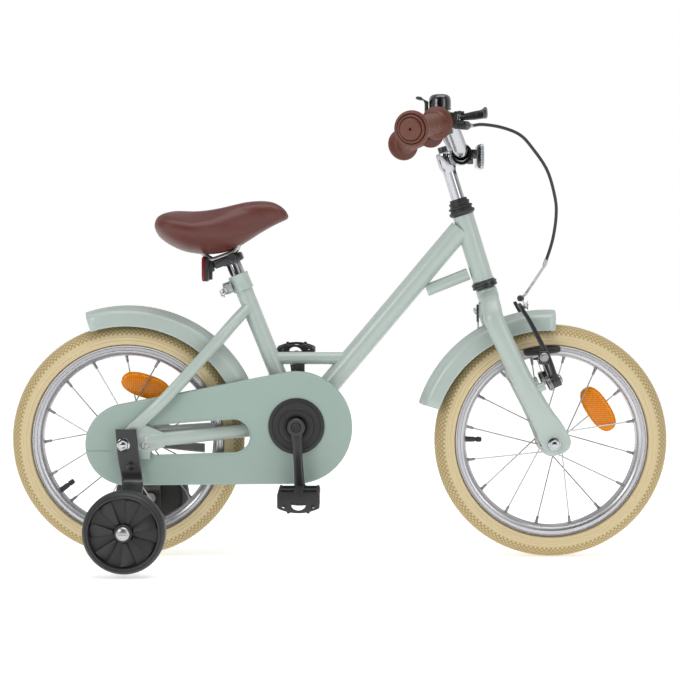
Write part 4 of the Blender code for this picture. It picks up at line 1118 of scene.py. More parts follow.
def chainring():
    windows = []
    for i in range(CHAINRING_WINDOWS):
        angle = math.radians(360 / CHAINRING_WINDOWS * i + 18)
        middle = Vector((BRACKET.x + 34 * math.cos(angle), 0, BRACKET.z + 34 * math.sin(angle)))
        windows.append(rod(middle - ACROSS * 50, middle - ACROSS * 30, 11, 40))
    shape = cut(toothed(BRACKET, CHAINRING_TEETH, 10.3, 1.2), *windows)
    finish_piece("steel_chainring", shape, BLACK_METAL, "crankset", ["chainring"])


def chain():
    big, small = pitch_radius(CHAINRING_TEETH), pitch_radius(SPROCKET_TEETH)
    dx, dz = BRACKET.x - REAR_AXLE.x, BRACKET.z - REAR_AXLE.z
    lean = math.degrees(math.atan2(dz, dx))
    spread = math.degrees(math.acos((small - big) / math.hypot(dx, dz)))
    loop = arc((BRACKET.x, BRACKET.z), big, lean - spread, lean + spread, 200)
    loop += arc((REAR_AXLE.x, REAR_AXLE.z), small, lean + spread, lean + 360 - spread, 120)
    loop.append(loop[0])
    lengths = [math.dist(a, b) for a, b in zip(loop, loop[1:])]
    count = 2 * round(sum(lengths) / PITCH / 2)
    pins, want, gone = [], 0.0, 0.0
    for (a, b), length in zip(zip(loop, loop[1:]), lengths):
        while want <= gone + length and len(pins) < count:
            t = (want - gone) / length
            pins.append(Vector((a[0] + (b[0] - a[0]) * t, CHAIN_LINE, a[1] + (b[1] - a[1]) * t)))
            want += sum(lengths) / count
        gone += length
    parts = []
    for i, (start, end) in enumerate(zip(pins, pins[1:] + pins[:1])):
        direction = math.atan2(end.z - start.z, end.x - start.x)
        length = (end - start).length
        eight = arc((0, 0), 4.2, 60, 300, 9) + arc((length, 0), 4.2, -120, 120, 9)
        turn = Matrix.Translation(start) @ Matrix.Rotation(-direction, 4, "Y")
        aside = 3.1 if i % 2 else 1.9
        for y in (-aside, aside):
            link = plate(eight, y - 0.5, y + 0.5)
            bmesh.ops.transform(link, matrix=turn, verts=link.verts)
            parts.append(link)
        parts.append(rod(start - ACROSS * 3.7, start + ACROSS * 3.7, 1.8, 8))
        parts.append(rod(start - ACROSS * 1.3, start + ACROSS * 1.3, 3.3, 12))
    print(count, "links")
    finish_piece("linked_chain", gathered(*parts), ZINC, "frame_body", ["chain"])


chainring()
sprocket = toothed(REAR_AXLE, SPROCKET_TEETH, 17.0, 1.2)
finish_piece("steel_sprocket", sprocket, ZINC, "sprocket", ["rear_sprocket"])
chain()
unit = turned(
    [(-32, 9.5), (-32, 15.6), (-31, 16.3), (31, 16.3), (32, 15.6), (32, 9.5)], BRACKET, ACROSS, 48, True,
)
finish_piece("bracket_bearing_unit", unit, ZINC, "frame_body", ["bottom_bracket_unit"])
spindle = [
    (-70, 0), (-70, 6.2), (-69, 7), (-58, 7), (-58, 9.1), (40, 9.1), (58, 7), (69, 7), (70, 6.2), (70, 0),
]
finish_piece(
    "turned_crank_spindle", turned(spindle, BRACKET, ACROSS, 48), ZINC, "crankset",
    ["crank_spindle"]
)
arm_path = [
    (-315.5, 45, 174, 13, 1.4), (-290, 45, 169, 10.5, 1.4), (-262, 45, 164, 8.2, 1.4),
    (-228, 45, 159, 7, 1.4),
]
arm_path += [(-205, 45, 157, 7, 1.4)]
arm_frames = [
    section_frame(Vector((x, y, z)), UP, ACROSS, (high, wide))
    for x,
    y,
    z,
    high,
    wide in eased(arm_path, 4)
]
coaster = fuse(through(arm_frames, 24, 6.0), rod((-315.5, 43.7, 174), (-315.5, 46.3, 174), 15, 48, 0.4))
coaster = cut(coaster, rod((-315.5, 30, 174), (-315.5, 60, 174), 8.3, 32))
finish_piece("stamped_coaster_arm", coaster, ZINC, "frame_body", ["coaster_brake_arm"])

# %% [markdown]
# ## Cranks and pedals
# The cranks are black steel arms with a round eye at each end. The pedals are moulded platforms: four windows
# round the spindle's tube, a half round hole and two small ones in each side, raised teeth along the edges
# and an amber reflector let into the front and the back.

# %% Cranks
CRANK_LENGTH = 92.0
CRANK_TILT = math.radians(3.6)


def crank_down(side):
    return Vector((math.sin(CRANK_TILT), 0, -math.cos(CRANK_TILT))) * (1 if side == RIGHT else -1)


def crank_tip(side):
    return BRACKET + ACROSS * side * 72 + crank_down(side) * CRANK_LENGTH


def crank(name, side):
    down = crank_down(side)
    hub = BRACKET + ACROSS * side * 65
    tip = crank_tip(side)
    across = down.cross(ACROSS)
    stations = [
        (hub + ACROSS * side * 1.5, 5.5, 9.5), (hub + down * 18 + ACROSS * side * 2.5, 5.3, 8.0),
        (hub + down * 45 + ACROSS * side * 4, 5.0, 6.7), (tip - down * 14, 5.6, 7.6), (tip, 6.4, 9.4),
        (tip + down * 6, 6.2, 7.6),
    ]
    rows = eased([(*centre, thick, wide) for centre, thick, wide in stations], 5)
    frames = [section_frame(Vector(row[:3]), ACROSS, across, (row[3], row[4])) for row in rows]
    parts = [
        turned(
            [(58.5, 0), (58.5, 12.4), (59.2, 13), (72, 13), (73, 12), (73, 0)], BRACKET, ACROSS * side, 56,
        ),
        through(frames, 28, 3.2),
        rod(tip - ACROSS * side * 7, tip + ACROSS * side * 7, 11.0, 48, 0.8),
    ]
    whole = cut(fuse(*parts), rod(BRACKET + ACROSS * side * 50, BRACKET + ACROSS * side * 90, 7.4, 40))
    finish_piece(f"{name}_crank_arm", whole, BLACK_METAL, "crankset", [f"{name}_crank"])
    cap_face = BRACKET + ACROSS * side * 70.5
    dust_cap = turned(
        [(0, 0), (0, 6.8), (2.0, 6.8), (2.8, 6.0), (2.8, 3.4), (1.8, 3.0), (1.8, 0)], cap_face, ACROSS * side,
        32
    )
    finish_piece(f"{name}_crank_cap", dust_cap, BLACK, "crankset")


for crank_name, crank_side in SIDES.items():
    crank(crank_name, crank_side)


# %% Pedals
def pedal(name, side):
    tip = crank_tip(side)
    centre = tip + ACROSS * side * 54
    up = 1 if side == RIGHT else -1

    def across_plate(outline, half, edge=0.0):
        return plate(
            [(centre.x + x, centre.z + z * up) for x, z in outline], centre.y - half, centre.y + half, edge,
        )

    bow = [(x, -20.5 + 0.0078 * x * x) for x in range(-28, 29, 4)]
    body = across_plate(
        [(-30, -12.5), (-30, 6), (-27.5, 8.5), (27.5, 8.5), (30, 6), (30, -12.5), *reversed(bow)], 42, 1.4,
    )
    windows = [
        across_plate(arc((0, -5.6), 11.4, 180, 360, 20), 50),
        across_plate([(-11, -40), (-11, -7), (11, -7), (11, -40)], 36),
    ]
    for x in (-19.5, 19.5):
        windows.append(across_plate(arc((x * 1.05, -10.8), 3.0, 0, 342, 20), 50))
        for y in (-21.5, 21.5):
            spot = centre + Vector((x * 0.87, y, 0))
            windows.append(block(spot - Vector((10.5, 14, 40)), spot + Vector((10.5, 14, 40)), 2.5, 3))
    for x in (-31.5, 31.5):
        spot = centre + Vector((x, 0, -2 * up))
        windows.append(block(spot - Vector((3.2, 17, 6)), spot + Vector((3.2, 17, 6))))
    teeth = []
    for x in (-27, 27):
        for k in range(7):
            spot = centre + Vector((x, -36 + 12 * k, -2.5 * up))
            teeth.append(block(spot - Vector((1.8, 2.6, 12.2)), spot + Vector((1.8, 2.6, 12.2)), 0.7))
    for y in (-39, 39):
        for x in (-14, 14):
            spot = centre + Vector((x, y, -19.4 * up))
            teeth.append(block(spot - Vector((2.2, 1.8, 1.4)), spot + Vector((2.2, 1.8, 1.4)), 0.6))
    spindle = rod(tip + ACROSS * side * 7.5, centre, 5.2, 32, 0.6)
    collar = rod(tip + ACROSS * side * 8.2, tip + ACROSS * side * 12, 7.6, 6, 0.5)
    moulded = fuse(cut(body, *windows), *teeth, rod(centre - ACROSS * 38, centre + ACROSS * 38, 7.2, 32))
    pedal_body = f"{name}_pedal_body"
    finish_piece(f"{name}_pedal_platform", moulded, BLACK, pedal_body, [f"{name}_pedal"])
    finish_piece(f"{name}_pedal_spindle", gathered(spindle, collar), ZINC, pedal_body)
    lenses = []
    for x in (-1, 1):
        low = centre + Vector((28.6 if x > 0 else -30.2, -16.4, -2 * up - 5.4))
        lenses.append(block(low, low + Vector((1.6, 32.8, 10.8)), 0.6))
    finish_piece(f"{name}_pedal_reflectors", gathered(*lenses), AMBER, pedal_body)


for pedal_name, pedal_side in SIDES.items():
    pedal(pedal_name, pedal_side)

# %% [markdown]
# ## Mudguards
# Each mudguard is rolled from thin sheet: a shallow arch with two raised ribs along its crown and rolled
# lower edges. Its section is drawn once as an open line and extruded in small steps round the axle while it
# moves out a little.


# %% Mudguards
MUDGUARD_SECTION = [
    (-30.0, -30.0), (-30.6, -29.0), (-30.4, -27.0), (-30.0, -25.0), (-30, -16), (-29.2, -11.5), (-27.2, -8),
    (-24, -5.4),
    (-20, -3.6), (-16, -2.7), (-14.5, -1.9), (-12.8, -0.5), (-11, -0.1), (-9.2, -0.5), (-7.6, -1.7),
    (-5, -1.8),
    (0, -1.6),
]
MUDGUARD_STEPS = 60


def mudguard(name, axle, start_deg, end_deg, outer_start, outer_end, extra, body, node):
    half = MUDGUARD_SECTION
    line = half + [(-y, drop) for y, drop in reversed(half[:-1])]
    shape = bmesh.new()
    dots = [shape.verts.new((0, y, drop)) for y, drop in line]
    edges = [shape.edges.new(pair) for pair in zip(dots, dots[1:])]

    def place(i):
        t = i / MUDGUARD_STEPS
        angle = math.radians(start_deg + (end_deg - start_deg) * t)
        outward = Vector((math.cos(angle), 0, math.sin(angle)))
        ends = min(t, 1 - t) * MUDGUARD_STEPS
        tuck = 1.0 - max(0.0, 1.5 - ends) * 0.5 / 1.5 * 0.3
        matrix = Matrix((outward.cross(ACROSS) * -1, ACROSS * tuck, outward)).transposed().to_4x4()
        radius = outer_start + (outer_end - outer_start) * t
        return Matrix.Translation(axle + outward * radius) @ matrix

    bmesh.ops.transform(shape, matrix=place(0), verts=dots)
    for i in range(MUDGUARD_STEPS):
        out = bmesh.ops.extrude_edge_only(shape, edges=edges)["geom"]
        moved = [part for part in out if isinstance(part, bmesh.types.BMVert)]
        edges = [part for part in out if isinstance(part, bmesh.types.BMEdge)]
        bmesh.ops.transform(shape, matrix=place(i + 1) @ place(i).inverted(), verts=moved)
    bmesh.ops.recalc_face_normals(shape, faces=shape.faces)
    top = max(shape.faces, key=lambda f: (f.calc_center_median() - axle).length)
    if top.normal.dot(top.calc_center_median() - axle) < 0:
        bmesh.ops.reverse_faces(shape, faces=shape.faces)
    bmesh.ops.solidify(shape, geom=shape.faces[:], thickness=1.4)
    bmesh.ops.recalc_face_normals(shape, faces=shape.faces)
    finish_piece(name, gathered(shape, *extra), MINT, body, [node], 40)


def upright_tab(middle, along, wide, thick, length):
    """A rounded flat tab that stands along a direction in the bike's middle plane."""
    along = Vector(along).normalized()
    tab = block((-wide / 2, -thick / 2, -length / 2), (wide / 2, thick / 2, length / 2), 0.6)
    return placed(tab, middle, ACROSS, along.cross(ACROSS) * -1, along)


front_tab = upright_tab(on_steering(-53, -24.6), STEER + STEER_FORWARD * 0.3, 12, 2.4, 30)
mudguard(
    "front_mudguard_shell", FRONT_AXLE, 88.5, 164.0, 195.0, 204.5, [front_tab], "steering", "front_mudguard",
)
mudguard("rear_mudguard_shell", REAR_AXLE, 27.0, 108.0, 201.5, 201.5, [], "frame_body", "rear_mudguard")

# %% [markdown]
# ## Mudguard fittings
# A black strap and a silver bolt hold the front mudguard to the fork's crown. A bolt holds the rear one to
# the bridge between the stays.

# %% Mudguard bolts and straps
strap = upright_tab(on_steering(-44, -22.5), STEER + STEER_FORWARD * 0.3, 15, 2.6, 26)
finish_piece("mudguard_strap", strap, BLACK, "steering")
crown_bolt = bolt_head(on_steering(-40, -23), -STEER_FORWARD, 5.0, 4.0)
finish_piece("crown_bolt", crown_bolt, ZINC, "steering")
bridge_bolt = bolt_head((-168.5, 0, 333), (0.8, 0, -0.6), 4.6, 4.0)
finish_piece("bridge_bolt", bridge_bolt, ZINC, "frame_body")

# %% [markdown]
# ## Stem
# A quill stem in chrome: a turned quill, a head that swells out of it, a short neck and a clamp round the
# bar. The black expander bolt stands in its top.

# %% Stem
BAR_CENTRE = Vector((179.7, 0, 599.0))
BAR_RADIUS = 11.0


def stem():
    quill = rod(on_steering(66), on_steering(196), 9.8, 48)
    head = turned(
        [
            (168, 0), (168, 9.8), (172, 10.6), (176, 12.4), (179, 13.0), (195, 13.0), (197.6, 12.4),
            (199, 10.8), (199, 0),
        ],
        HEAD_BOTTOM, STEER, 56,
    )
    start, end = on_steering(186, 4), BAR_CENTRE - STEER_FORWARD * 4
    frames = []
    for t, wide, high in ((0, 10, 10.5), (0.35, 10.4, 10.6), (0.7, 12.5, 12), (1, 14, 13)):
        frames.append(section_frame(start + (end - start) * t, ACROSS, STEER, (wide, high)))
    arm = through(frames, 36, 2.8)
    clamp = turned(
        [(-17, 0), (-17, 14.6), (-16, 15.5), (16, 15.5), (17, 14.6), (17, 0)], BAR_CENTRE, ACROSS, 56
    )
    bar_hole = rod(BAR_CENTRE - ACROSS * 30, BAR_CENTRE + ACROSS * 30, BAR_RADIUS + 0.1, 56)
    bolt_hole = rod(on_steering(61), on_steering(206), 4.0, 24)
    whole = cut(fuse(quill, head, arm, clamp), bar_hole, bolt_hole)
    finish_piece("quill_stem", whole, CHROME, "steering", ["stem"])


stem()
QUILL_TOP = 199.3
bolt = [
    (54, 0), (54, 8), (65.7, 9.6), (65.7, 3.6), (QUILL_TOP, 3.6), (QUILL_TOP, 6.6), (QUILL_TOP + 0.4, 7),
    (QUILL_TOP + 7.2, 7),
]
bolt += [
    (QUILL_TOP + 8.2, 6.4), (QUILL_TOP + 8.5, 5.8), (QUILL_TOP + 8.5, 3.4), (QUILL_TOP + 3.5, 3.4),
    (QUILL_TOP + 3.5, 0),
]
finish_piece(
    "expander_bolt", turned(bolt, HEAD_BOTTOM, STEER, 40), BLACK_METAL, "steering",
    ["stem_bolt"]
)

# %% [markdown]
# ## Handlebar and grips
# One chromed tube rises from the clamp and bends back to the rider's hands. The grips are moulded rubber with
# a flange at each end. Their outer flange has concentric grooves on its face and a small hole in the middle,
# and the hand part carries fine ribs.

# %% Handlebar
GRIP_START, GRIP_END = 115.0, 222.0
GRIP_RIBS = 13
GRIP_AXIS_START = Vector((140.3, 115.0, 639.4))
GRIP_AXIS_END = Vector((100.2, 215.0, 625.2))


def grip_point(distance_out, side):
    """A point on the grip's axis by its distance from the middle of the bike."""
    t = (distance_out - GRIP_START) / (GRIP_AXIS_END.y - GRIP_AXIS_START.y)
    point = GRIP_AXIS_START + (GRIP_AXIS_END - GRIP_AXIS_START) * t
    return Vector((point.x, point.y * side, point.z))


def bar_route():
    half = [grip_point(GRIP_END - 6, RIGHT), grip_point(68, RIGHT), Vector((179.7, -34, 599))]
    other = [grip_point(GRIP_END - 6, LEFT), grip_point(68, LEFT), Vector((179.7, 34, 599))]
    return rounded_path([*half, *reversed(other)], 34, 14)


finish_piece(
    "chromed_handlebar", swept(bar_route(), BAR_RADIUS, 40), CHROME, "steering", ["handlebar"], 50,
)


# %% Grips
def grip(name, side):
    start = grip_point(GRIP_START, side)
    span = grip_point(GRIP_END, side) - start
    length = span.length
    bore = BAR_RADIUS + 0.2
    profile = [
        (0, bore), (0, 20.8), (0.6, 22.4), (2, 23.6), (3.4, 23.8), (4.6, 23.2), (5.2, 20.8), (6.0, 17.2),
        (8, 15.4),
    ]
    first_rib, last_rib = 13.0, length - 21.0
    for i in range(GRIP_RIBS):
        at = first_rib + (last_rib - first_rib) * i / (GRIP_RIBS - 1)
        profile += [(at, 14.4), (at + 1.1, 15.2), (at + 3.2, 15.2), (at + 4.2, 14.4)]
    end = length
    profile += [
        (end - 14.6, 15.6), (end - 12.6, 18.0), (end - 11.8, 23.6), (end - 10.8, 25.0), (end - 9.6, 25.4),
    ]
    profile += [
        (end - 7.2, 25.4), (end - 6.0, 25.0), (end - 5.4, 24.0), (end - 5.4, 21.4), (end - 8.0, 20.6),
        (end - 4.8, 19.9),
    ]
    profile += [
        (end - 3.4, 19.6), (end - 2.9, 18.9), (end - 2.9, 16.8), (end - 5.2, 16.1), (end - 2.2, 15.5),
        (end - 0.9, 15.2),
    ]
    profile += [(end - 0.2, 14.4), (end, 13.0), (end, 2.6), (end - 0.8, 1.8)]
    profile += [(end - 5, 1.8), (end - 5, bore)]
    shape = turned(profile, start, span, 72, True)
    finish_piece(f"{name}_ribbed_grip", shape, BROWN, "steering", [f"{name}_grip"], 34)


for grip_name, grip_side in SIDES.items():
    grip(grip_name, grip_side)

# %% [markdown]
# ## Bell
# A small ping bell: a black dome with a rolled edge on a clamp band, with a striker post and a thumb lever
# that springs back.


# %% Bell
def bell():
    on_bar = grip_point(82.0, RIGHT)
    axis = (grip_point(GRIP_END, RIGHT) - on_bar).normalized()
    lean = Vector((-0.22, 0, 1)).normalized()
    centre = on_bar + Vector((-5, 0, 0)) + lean * 16
    band = turned(
        [(-5, 11.2), (-5, 13.9), (-4.4, 14.5), (4.4, 14.5), (5, 13.9), (5, 11.2)], on_bar, axis, 48, True
    )
    post = rod(on_bar + lean * 12.5, on_bar + lean * 18, 7, 32)
    dome = turned(
        [(0, 0), (0, 15.6), (0.8, 16.4), (2.2, 16.4), (3.0, 15.9), (3.6, 15.7), (9, 15.9), (14, 15.7),
         (17.5, 15.1),
         (20, 13.6), (21.8, 11.2), (22.8, 8), (23.2, 4.2), (23.3, 0)],
        centre, UP, 64,
    )
    ears = placed(block((-3, -7, -19.5), (3, 7, -11.5), 1.2), on_bar, axis, axis.cross(lean) * -1, lean)
    whole = cut(fuse(band, post, dome, ears), swept(bar_route(), BAR_RADIUS + 0.3, 40))
    finish_piece("ping_bell", whole, BELL_BLACK, "steering", ["bell"], 34)
    screw = rod(on_bar - lean * 15.5 - axis * 5, on_bar - lean * 15.5 + axis * 5, 2.2, 16, 0.4)
    finish_piece("bell_screw", screw, ZINC, "steering")
    pivot = centre + Vector((-19.5, -4, 2))
    frames = [
        section_frame(pivot + Vector(offset), first, second, size)
        for offset, first, second, size in (
            ((0, 0, 7.6), FORWARD, ACROSS, (3.0, 4.6)), ((-0.6, -0.2, 10), FORWARD, ACROSS, (3.4, 5.4)),
            ((-3, -0.8, 12.4), (FORWARD - UP * 0.5).normalized(), ACROSS, (3.4, 6.2)),
            ((-8, -1.4, 14.2), (UP + FORWARD * 0.3).normalized() * -1, ACROSS, (2.6, 6.6)),
            ((-13, -2, 15), -UP, ACROSS, (2.4, 6.2)), ((-15.4, -2.2, 15.2), -UP, ACROSS, (1.4, 4.4)),
        )
    ]
    lever = fuse(rod(pivot - UP * 5, pivot + UP * 9, 2.8, 24, 0.4), through(frames, 24, 2.6))
    finish_piece("bell_thumb_lever", lever, BLACK, "bell_thumb", ["bell_lever"], 40)


bell()

# %% [markdown]
# ## Brake lever
# A nylon bracket clamps to the bar and holds the pivot pin. A knurled adjuster screws into its nose, and the
# cable leaves through it. The blade is painted aluminium, flat and wide where two fingers rest, with a round
# tip.


# %% Brake lever
def lever_bracket():
    on_bar = grip_point(104, RIGHT)
    axis = (grip_point(GRIP_END, RIGHT) - on_bar).normalized()
    band = turned(
        [(-7, 11.2), (-7, 14.8), (-6, 15.7), (6, 15.7), (7, 14.8), (7, 11.2)], on_bar, axis, 48, True
    )
    parts = [
        block((158.5, -111, 633), (169, -97, 655), 2.0),
        block((164, -112.5, 638.8), (178.5, -97, 643.6), 1.6),
        block((164, -112.5, 652.8), (178.5, -97, 656.4), 1.2),
        block((164, -109, 631.6), (182, -97, 641), 2.2),
        rod((176, -105, 636.9), (183.5, -88.8, 637.4), 6.4, 32, 0.8),
    ]
    clear_bar = rod(on_bar - axis * 14, on_bar + axis * 9, 11.15, 48)
    shape = cut(fuse(band, *parts), clear_bar)
    finish_piece(
        "lever_clamp_bracket", shape, BLACK, "steering", ["brake_lever_bracket"], 34,
    )
    start, end = Vector((182.6, -90.8, 637.4)), Vector((186.4, -82.6, 637.7))
    along = (end - start).normalized()
    barrel = [
        (0, 0), (0, 4.8), (0.6, 5.4), (4.6, 5.4), (5.2, 4.8), (5.4, 3.6), (8.6, 3.4), (9.0, 3.0), (9.0, 0),
    ]
    knurls = []
    first, second = across_of(along)
    for i in range(14):
        turn = 2 * math.pi * i / 14
        spot = start + (first * math.cos(turn) + second * math.sin(turn)) * 5.3
        knurls.append(rod(spot + along * 0.8, spot + along * 4.4, 0.7, 8))
    adjuster = gathered(turned(barrel, start, along, 40), *knurls)
    finish_piece("cable_adjuster", adjuster, ZINC, "steering")
    pin = rod((172.0, -106.0, 637.6), (172.0, -106.0, 657.4), 2.6, 24, 0.5)
    finish_piece("lever_pivot_pin", pin, ZINC, "steering")


def lever_blade():
    rows = [
        (171, -104.5, 648.2, 4.2, 3.6), (176, -106.2, 648.4, 4.6, 3.9), (183, -110.5, 648.8, 5.2, 3.8),
        (193, -119, 649.8, 6.2, 3.4), (200.5, -130, 650.4, 6.4, 3.0), (204, -144, 651.0, 7.2, 2.9),
        (204.4, -160, 650.6, 7.8, 2.9), (204, -176, 649.8, 8.2, 3.0), (202.6, -188, 648.8, 8.0, 3.1),
        (201.4, -194.5, 648.2, 6.0, 2.7), (201.0, -196.6, 648.0, 3.2, 1.5),
    ]
    rows = eased(rows, 4)
    path = [Vector(row[:3]) for row in rows]
    shape = swept(path, [(row[3], row[4]) for row in rows], 28, 2.8, UP)
    finish_piece(
        "forged_brake_lever", shape, BLACK_METAL, "brake_lever_body", ["brake_lever"], 50,
    )


lever_bracket()
lever_blade()

# %% [markdown]
# ## Front reflector
# A clear lens in a black frame, on an arm that clamps to the bar. Cube corners behind the lens make its
# checked look.

# %% Front reflector
def front_reflector():
    rows = [(207.5, 1.0), (208.0, 0.3), (211.4, 0.3), (212.4, 1.0), (212.8, 2.2)]
    frames = [section_frame(Vector((x, 0, 596)), ACROSS, UP, (34 - k, 19 - k)) for x, k in rows]
    finish_piece(
        "front_clear_lens", through(frames, 64, 7.0), CLEAR_LENS, "steering",
        ["front_reflector"], 34
    )
    band_centre = BAR_CENTRE - ACROSS * 30
    band = turned(
        [(-5.5, 11.2), (-5.5, 14.9), (-4.7, 15.6), (4.7, 15.6), (5.5, 14.9), (5.5, 11.2)], band_centre,
        ACROSS, 48, True
    )
    arm = block((BAR_CENTRE.x + 12, -35, 592), (204, -25, 606), 1.6)
    screw_boss = block((BAR_CENTRE.x + 8, -34, 584), (BAR_CENTRE.x + 17, -26, 594), 1.4)
    frames = [section_frame(Vector((x, 0, 596)), ACROSS, UP, (34 - k, 19 - k)) for x, k in
              ((202.4, 4.5), (203.0, 2.8), (204.2, 1.4), (206.4, 0.6), (207.4, 0.6))]
    back = through(frames, 64, 7.0)
    shape = cut(fuse(back, arm, band, screw_boss), swept(bar_route(), BAR_RADIUS + 0.3, 40))
    finish_piece(
        "front_reflector_mount", shape, BELL_BLACK, "steering", ["front_reflector_bracket"],
        34
    )


front_reflector()

# %% [markdown]
# ## Brake cable
# The housing is a wound steel spiral in black vinyl, 5 mm thick. It leaves the adjuster at the lever, stands
# out in front of the stem in one springy bow and comes down to the noodle, so it is a stiff cord with both
# ends on the bike. It is a curve with one spline along the CAD cable's route.

# %% Brake cable
CABLE_ROUTE = [
    (186.3, -83.5, 637.6), (194, -72, 638.4), (208, -62, 640.5), (237, -48, 637), (265, -33, 627),
    (285, -18, 608), (308, -2, 577), (321, 12, 540), (325, 24, 512), (321, 34, 474), (309.5, 40, 434.5),
]
CABLE_RADIUS = 2.4


def cable():
    points = smooth_route(CABLE_ROUTE, 5.0)
    curve = bpy.data.curves.new("brake_cable_housing", "CURVE")
    curve.dimensions = "3D"
    curve.bevel_depth = CABLE_RADIUS * MM
    curve.bevel_resolution = 6
    curve.use_fill_caps = True
    line = curve.splines.new("POLY")
    line.points.add(len(points) - 1)
    for spot, point in zip(line.points, points):
        spot.co = (*(point * MM), 1.0)
    line.use_smooth = True
    curve.materials.append(CABLE_BLACK)
    piece = bpy.data.objects.new("brake_cable_housing", curve)
    scene.collection.objects.link(piece)
    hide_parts("brake_cable")
    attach(piece, "steering")
    ferrules = []
    for end, inner in ((points[0], points[2]), (points[-1], points[-3])):
        along = (inner - end).normalized()
        profile = [(-1.0, 0), (-1.0, 2.8), (-0.4, 3.2), (9.4, 3.2), (10, 2.9), (10, 0)]
        ferrules.append(turned(profile, end, along, 24))
    finish_piece("cable_ferrules", gathered(*ferrules), ZINC, "steering")


cable()

# %% [markdown]
# ## Front brake
# A linear pull brake: two black arms turn on the fork's bosses. The noodle, a bent steel tube, carries the
# cable to the left arm, a rubber boot covers the bare wire between the arms, and an anchor bolt holds the
# wire on the right arm. Each arm has a spring at its foot and carries a grooved pad on a stud.

# %% Brake arms
BRAKE_PIVOT = {side: Vector((303.0, 52.0 * side, 260.5)) for side in (RIGHT, LEFT)}
PAD_STUD = Vector((299.5, 0, 302))


def brake_arm(name, side):
    pivot = BRAKE_PIVOT[side]
    inward = -ACROSS * side
    base = pivot + BRAKE_AXIS * 16
    rows = [(0, 0, 0, 10.0, 4.6), (14, 0, 1.6, 9.0, 4.2), (30, 0, 3.4, 7.4, 3.8), (45, 0.5, 3.6, 6.8, 3.6)]
    rows += [
        (62, 2.2, 2.4, 6.4, 3.5), (80, 5, 1.6, 6.2, 3.4), (98, 8.4, 0.4, 6.0, 3.2), (112, 11, -1.6, 6.0, 3.0),
    ]
    rows += [(121, 13, -2.6, 5.6, 2.9), (125, 14, -3.0, 4.2, 2.4)]
    frames = [
        section_frame(
            base + BRAKE_UP * up + inward * across + BRAKE_AXIS * bow, ACROSS, BRAKE_AXIS, (wide, thick),
        )
        for up, across, bow, wide, thick in eased(rows, 3)
    ]
    parts = [
        turned([(2, 0), (2, 9), (2.6, 9.6), (21, 9.6), (22, 9), (22, 0)], pivot, BRAKE_AXIS, 48),
        through(frames, 28, 3.4),
        block((292, pivot.y - 8.5, 291), (306, pivot.y + 8.5, 311), 2.5, 3),
    ]
    whole = cut(
        fuse(*parts),
        rod(pivot - BRAKE_AXIS * 5, pivot + BRAKE_AXIS * 18.5, 6.8, 32),
        rod(PAD_STUD + ACROSS * (pivot.y - 30), PAD_STUD + ACROSS * (pivot.y + 30), 3.3, 24),
    )
    body = f"{name}_brake"
    finish_piece(
        f"{name}_forged_brake_arm", whole, BLACK_METAL, body, [f"{name}_brake_arm"], 34,
    )
    fittings = [bolt_head(pivot + BRAKE_AXIS * 21.6, BRAKE_AXIS, 6.2, 4.2)]
    stud_face = Vector((PAD_STUD.x, side * 60.6, PAD_STUD.z))
    fittings.append(
        turned([(0, 3.0), (0, 6.4), (1.4, 6.4), (2.0, 5.8), (2.0, 3.0)], stud_face, ACROSS * side, 40, True)
    )
    fittings.append(hex_nut(stud_face + ACROSS * side * 1.8, ACROSS * side, 8.0, 4.6))
    finish_piece(f"{name}_brake_fittings", gathered(*fittings), ZINC, body)
    brake_spring(name, side, body)


def brake_spring(name, side, body):
    """The return spring: a coil round the boss whose straight leg leans on the arm."""
    pivot = BRAKE_PIVOT[side]
    points = []
    turns, coil = 2.5, 10.8
    for i in range(int(turns * 20) + 1):
        angle = 2 * math.pi * i / 20
        spot = pivot + BRAKE_AXIS * (3.5 + 5.0 * i / (turns * 20))
        points.append(spot + (BRAKE_UP * math.cos(angle) + ACROSS * side * math.sin(angle)) * coil)
    points.append(pivot + BRAKE_AXIS * 9.5 + BRAKE_UP * 30 + ACROSS * side * -6)
    points.append(pivot + BRAKE_AXIS * 10 + BRAKE_UP * 42 + ACROSS * side * -5)
    finish_piece(f"{name}_brake_spring", swept(points, 0.75, 10), ZINC, body)


def brake_pad(name, side):
    pad_centre = Vector((300.6, 0, 311.0))
    outward = (pad_centre - FRONT_AXLE).normalized()
    along = outward.cross(ACROSS)
    tread = FRONT_AXLE + outward * 135.5
    frames = [
        section_frame(tread + ACROSS * side * reach, along, outward, (27 - inset, 5.4 - inset * 0.6))
        for reach, inset in (
            (16.2, 1.0), (16.8, 0.2), (18, 0), (20.4, 0), (21.2, 0.6), (23.5, 1.2), (25.6, 3.4), (26.2, 5.5),
        )
    ]
    shape = through(frames, 48, 5.0)
    grooves = []
    for k in (-14, -5, 5, 14):
        spot = tread + along * k
        groove = block((-0.7, 15, -8), (0.7, 19, 8))
        grooves.append(placed(groove, spot, along, ACROSS * side, outward))
    low_y, high_y = sorted((22 * side, 33 * side))
    root = block((294.5, low_y, 298), (304.5, high_y, 309), 2.0)
    stud = rod((PAD_STUD.x, 24 * side, PAD_STUD.z), (PAD_STUD.x, 63 * side, PAD_STUD.z), 2.9, 24, 0.5)
    whole = fuse(cut(shape, *grooves), root, stud)
    finish_piece(
        f"{name}_brake_block", whole, BLACK, f"{name}_brake", [f"{name}_brake_pad"], 34,
    )


for brake_name, brake_side in SIDES.items():
    brake_arm(brake_name, brake_side)
    brake_pad(brake_name, brake_side)

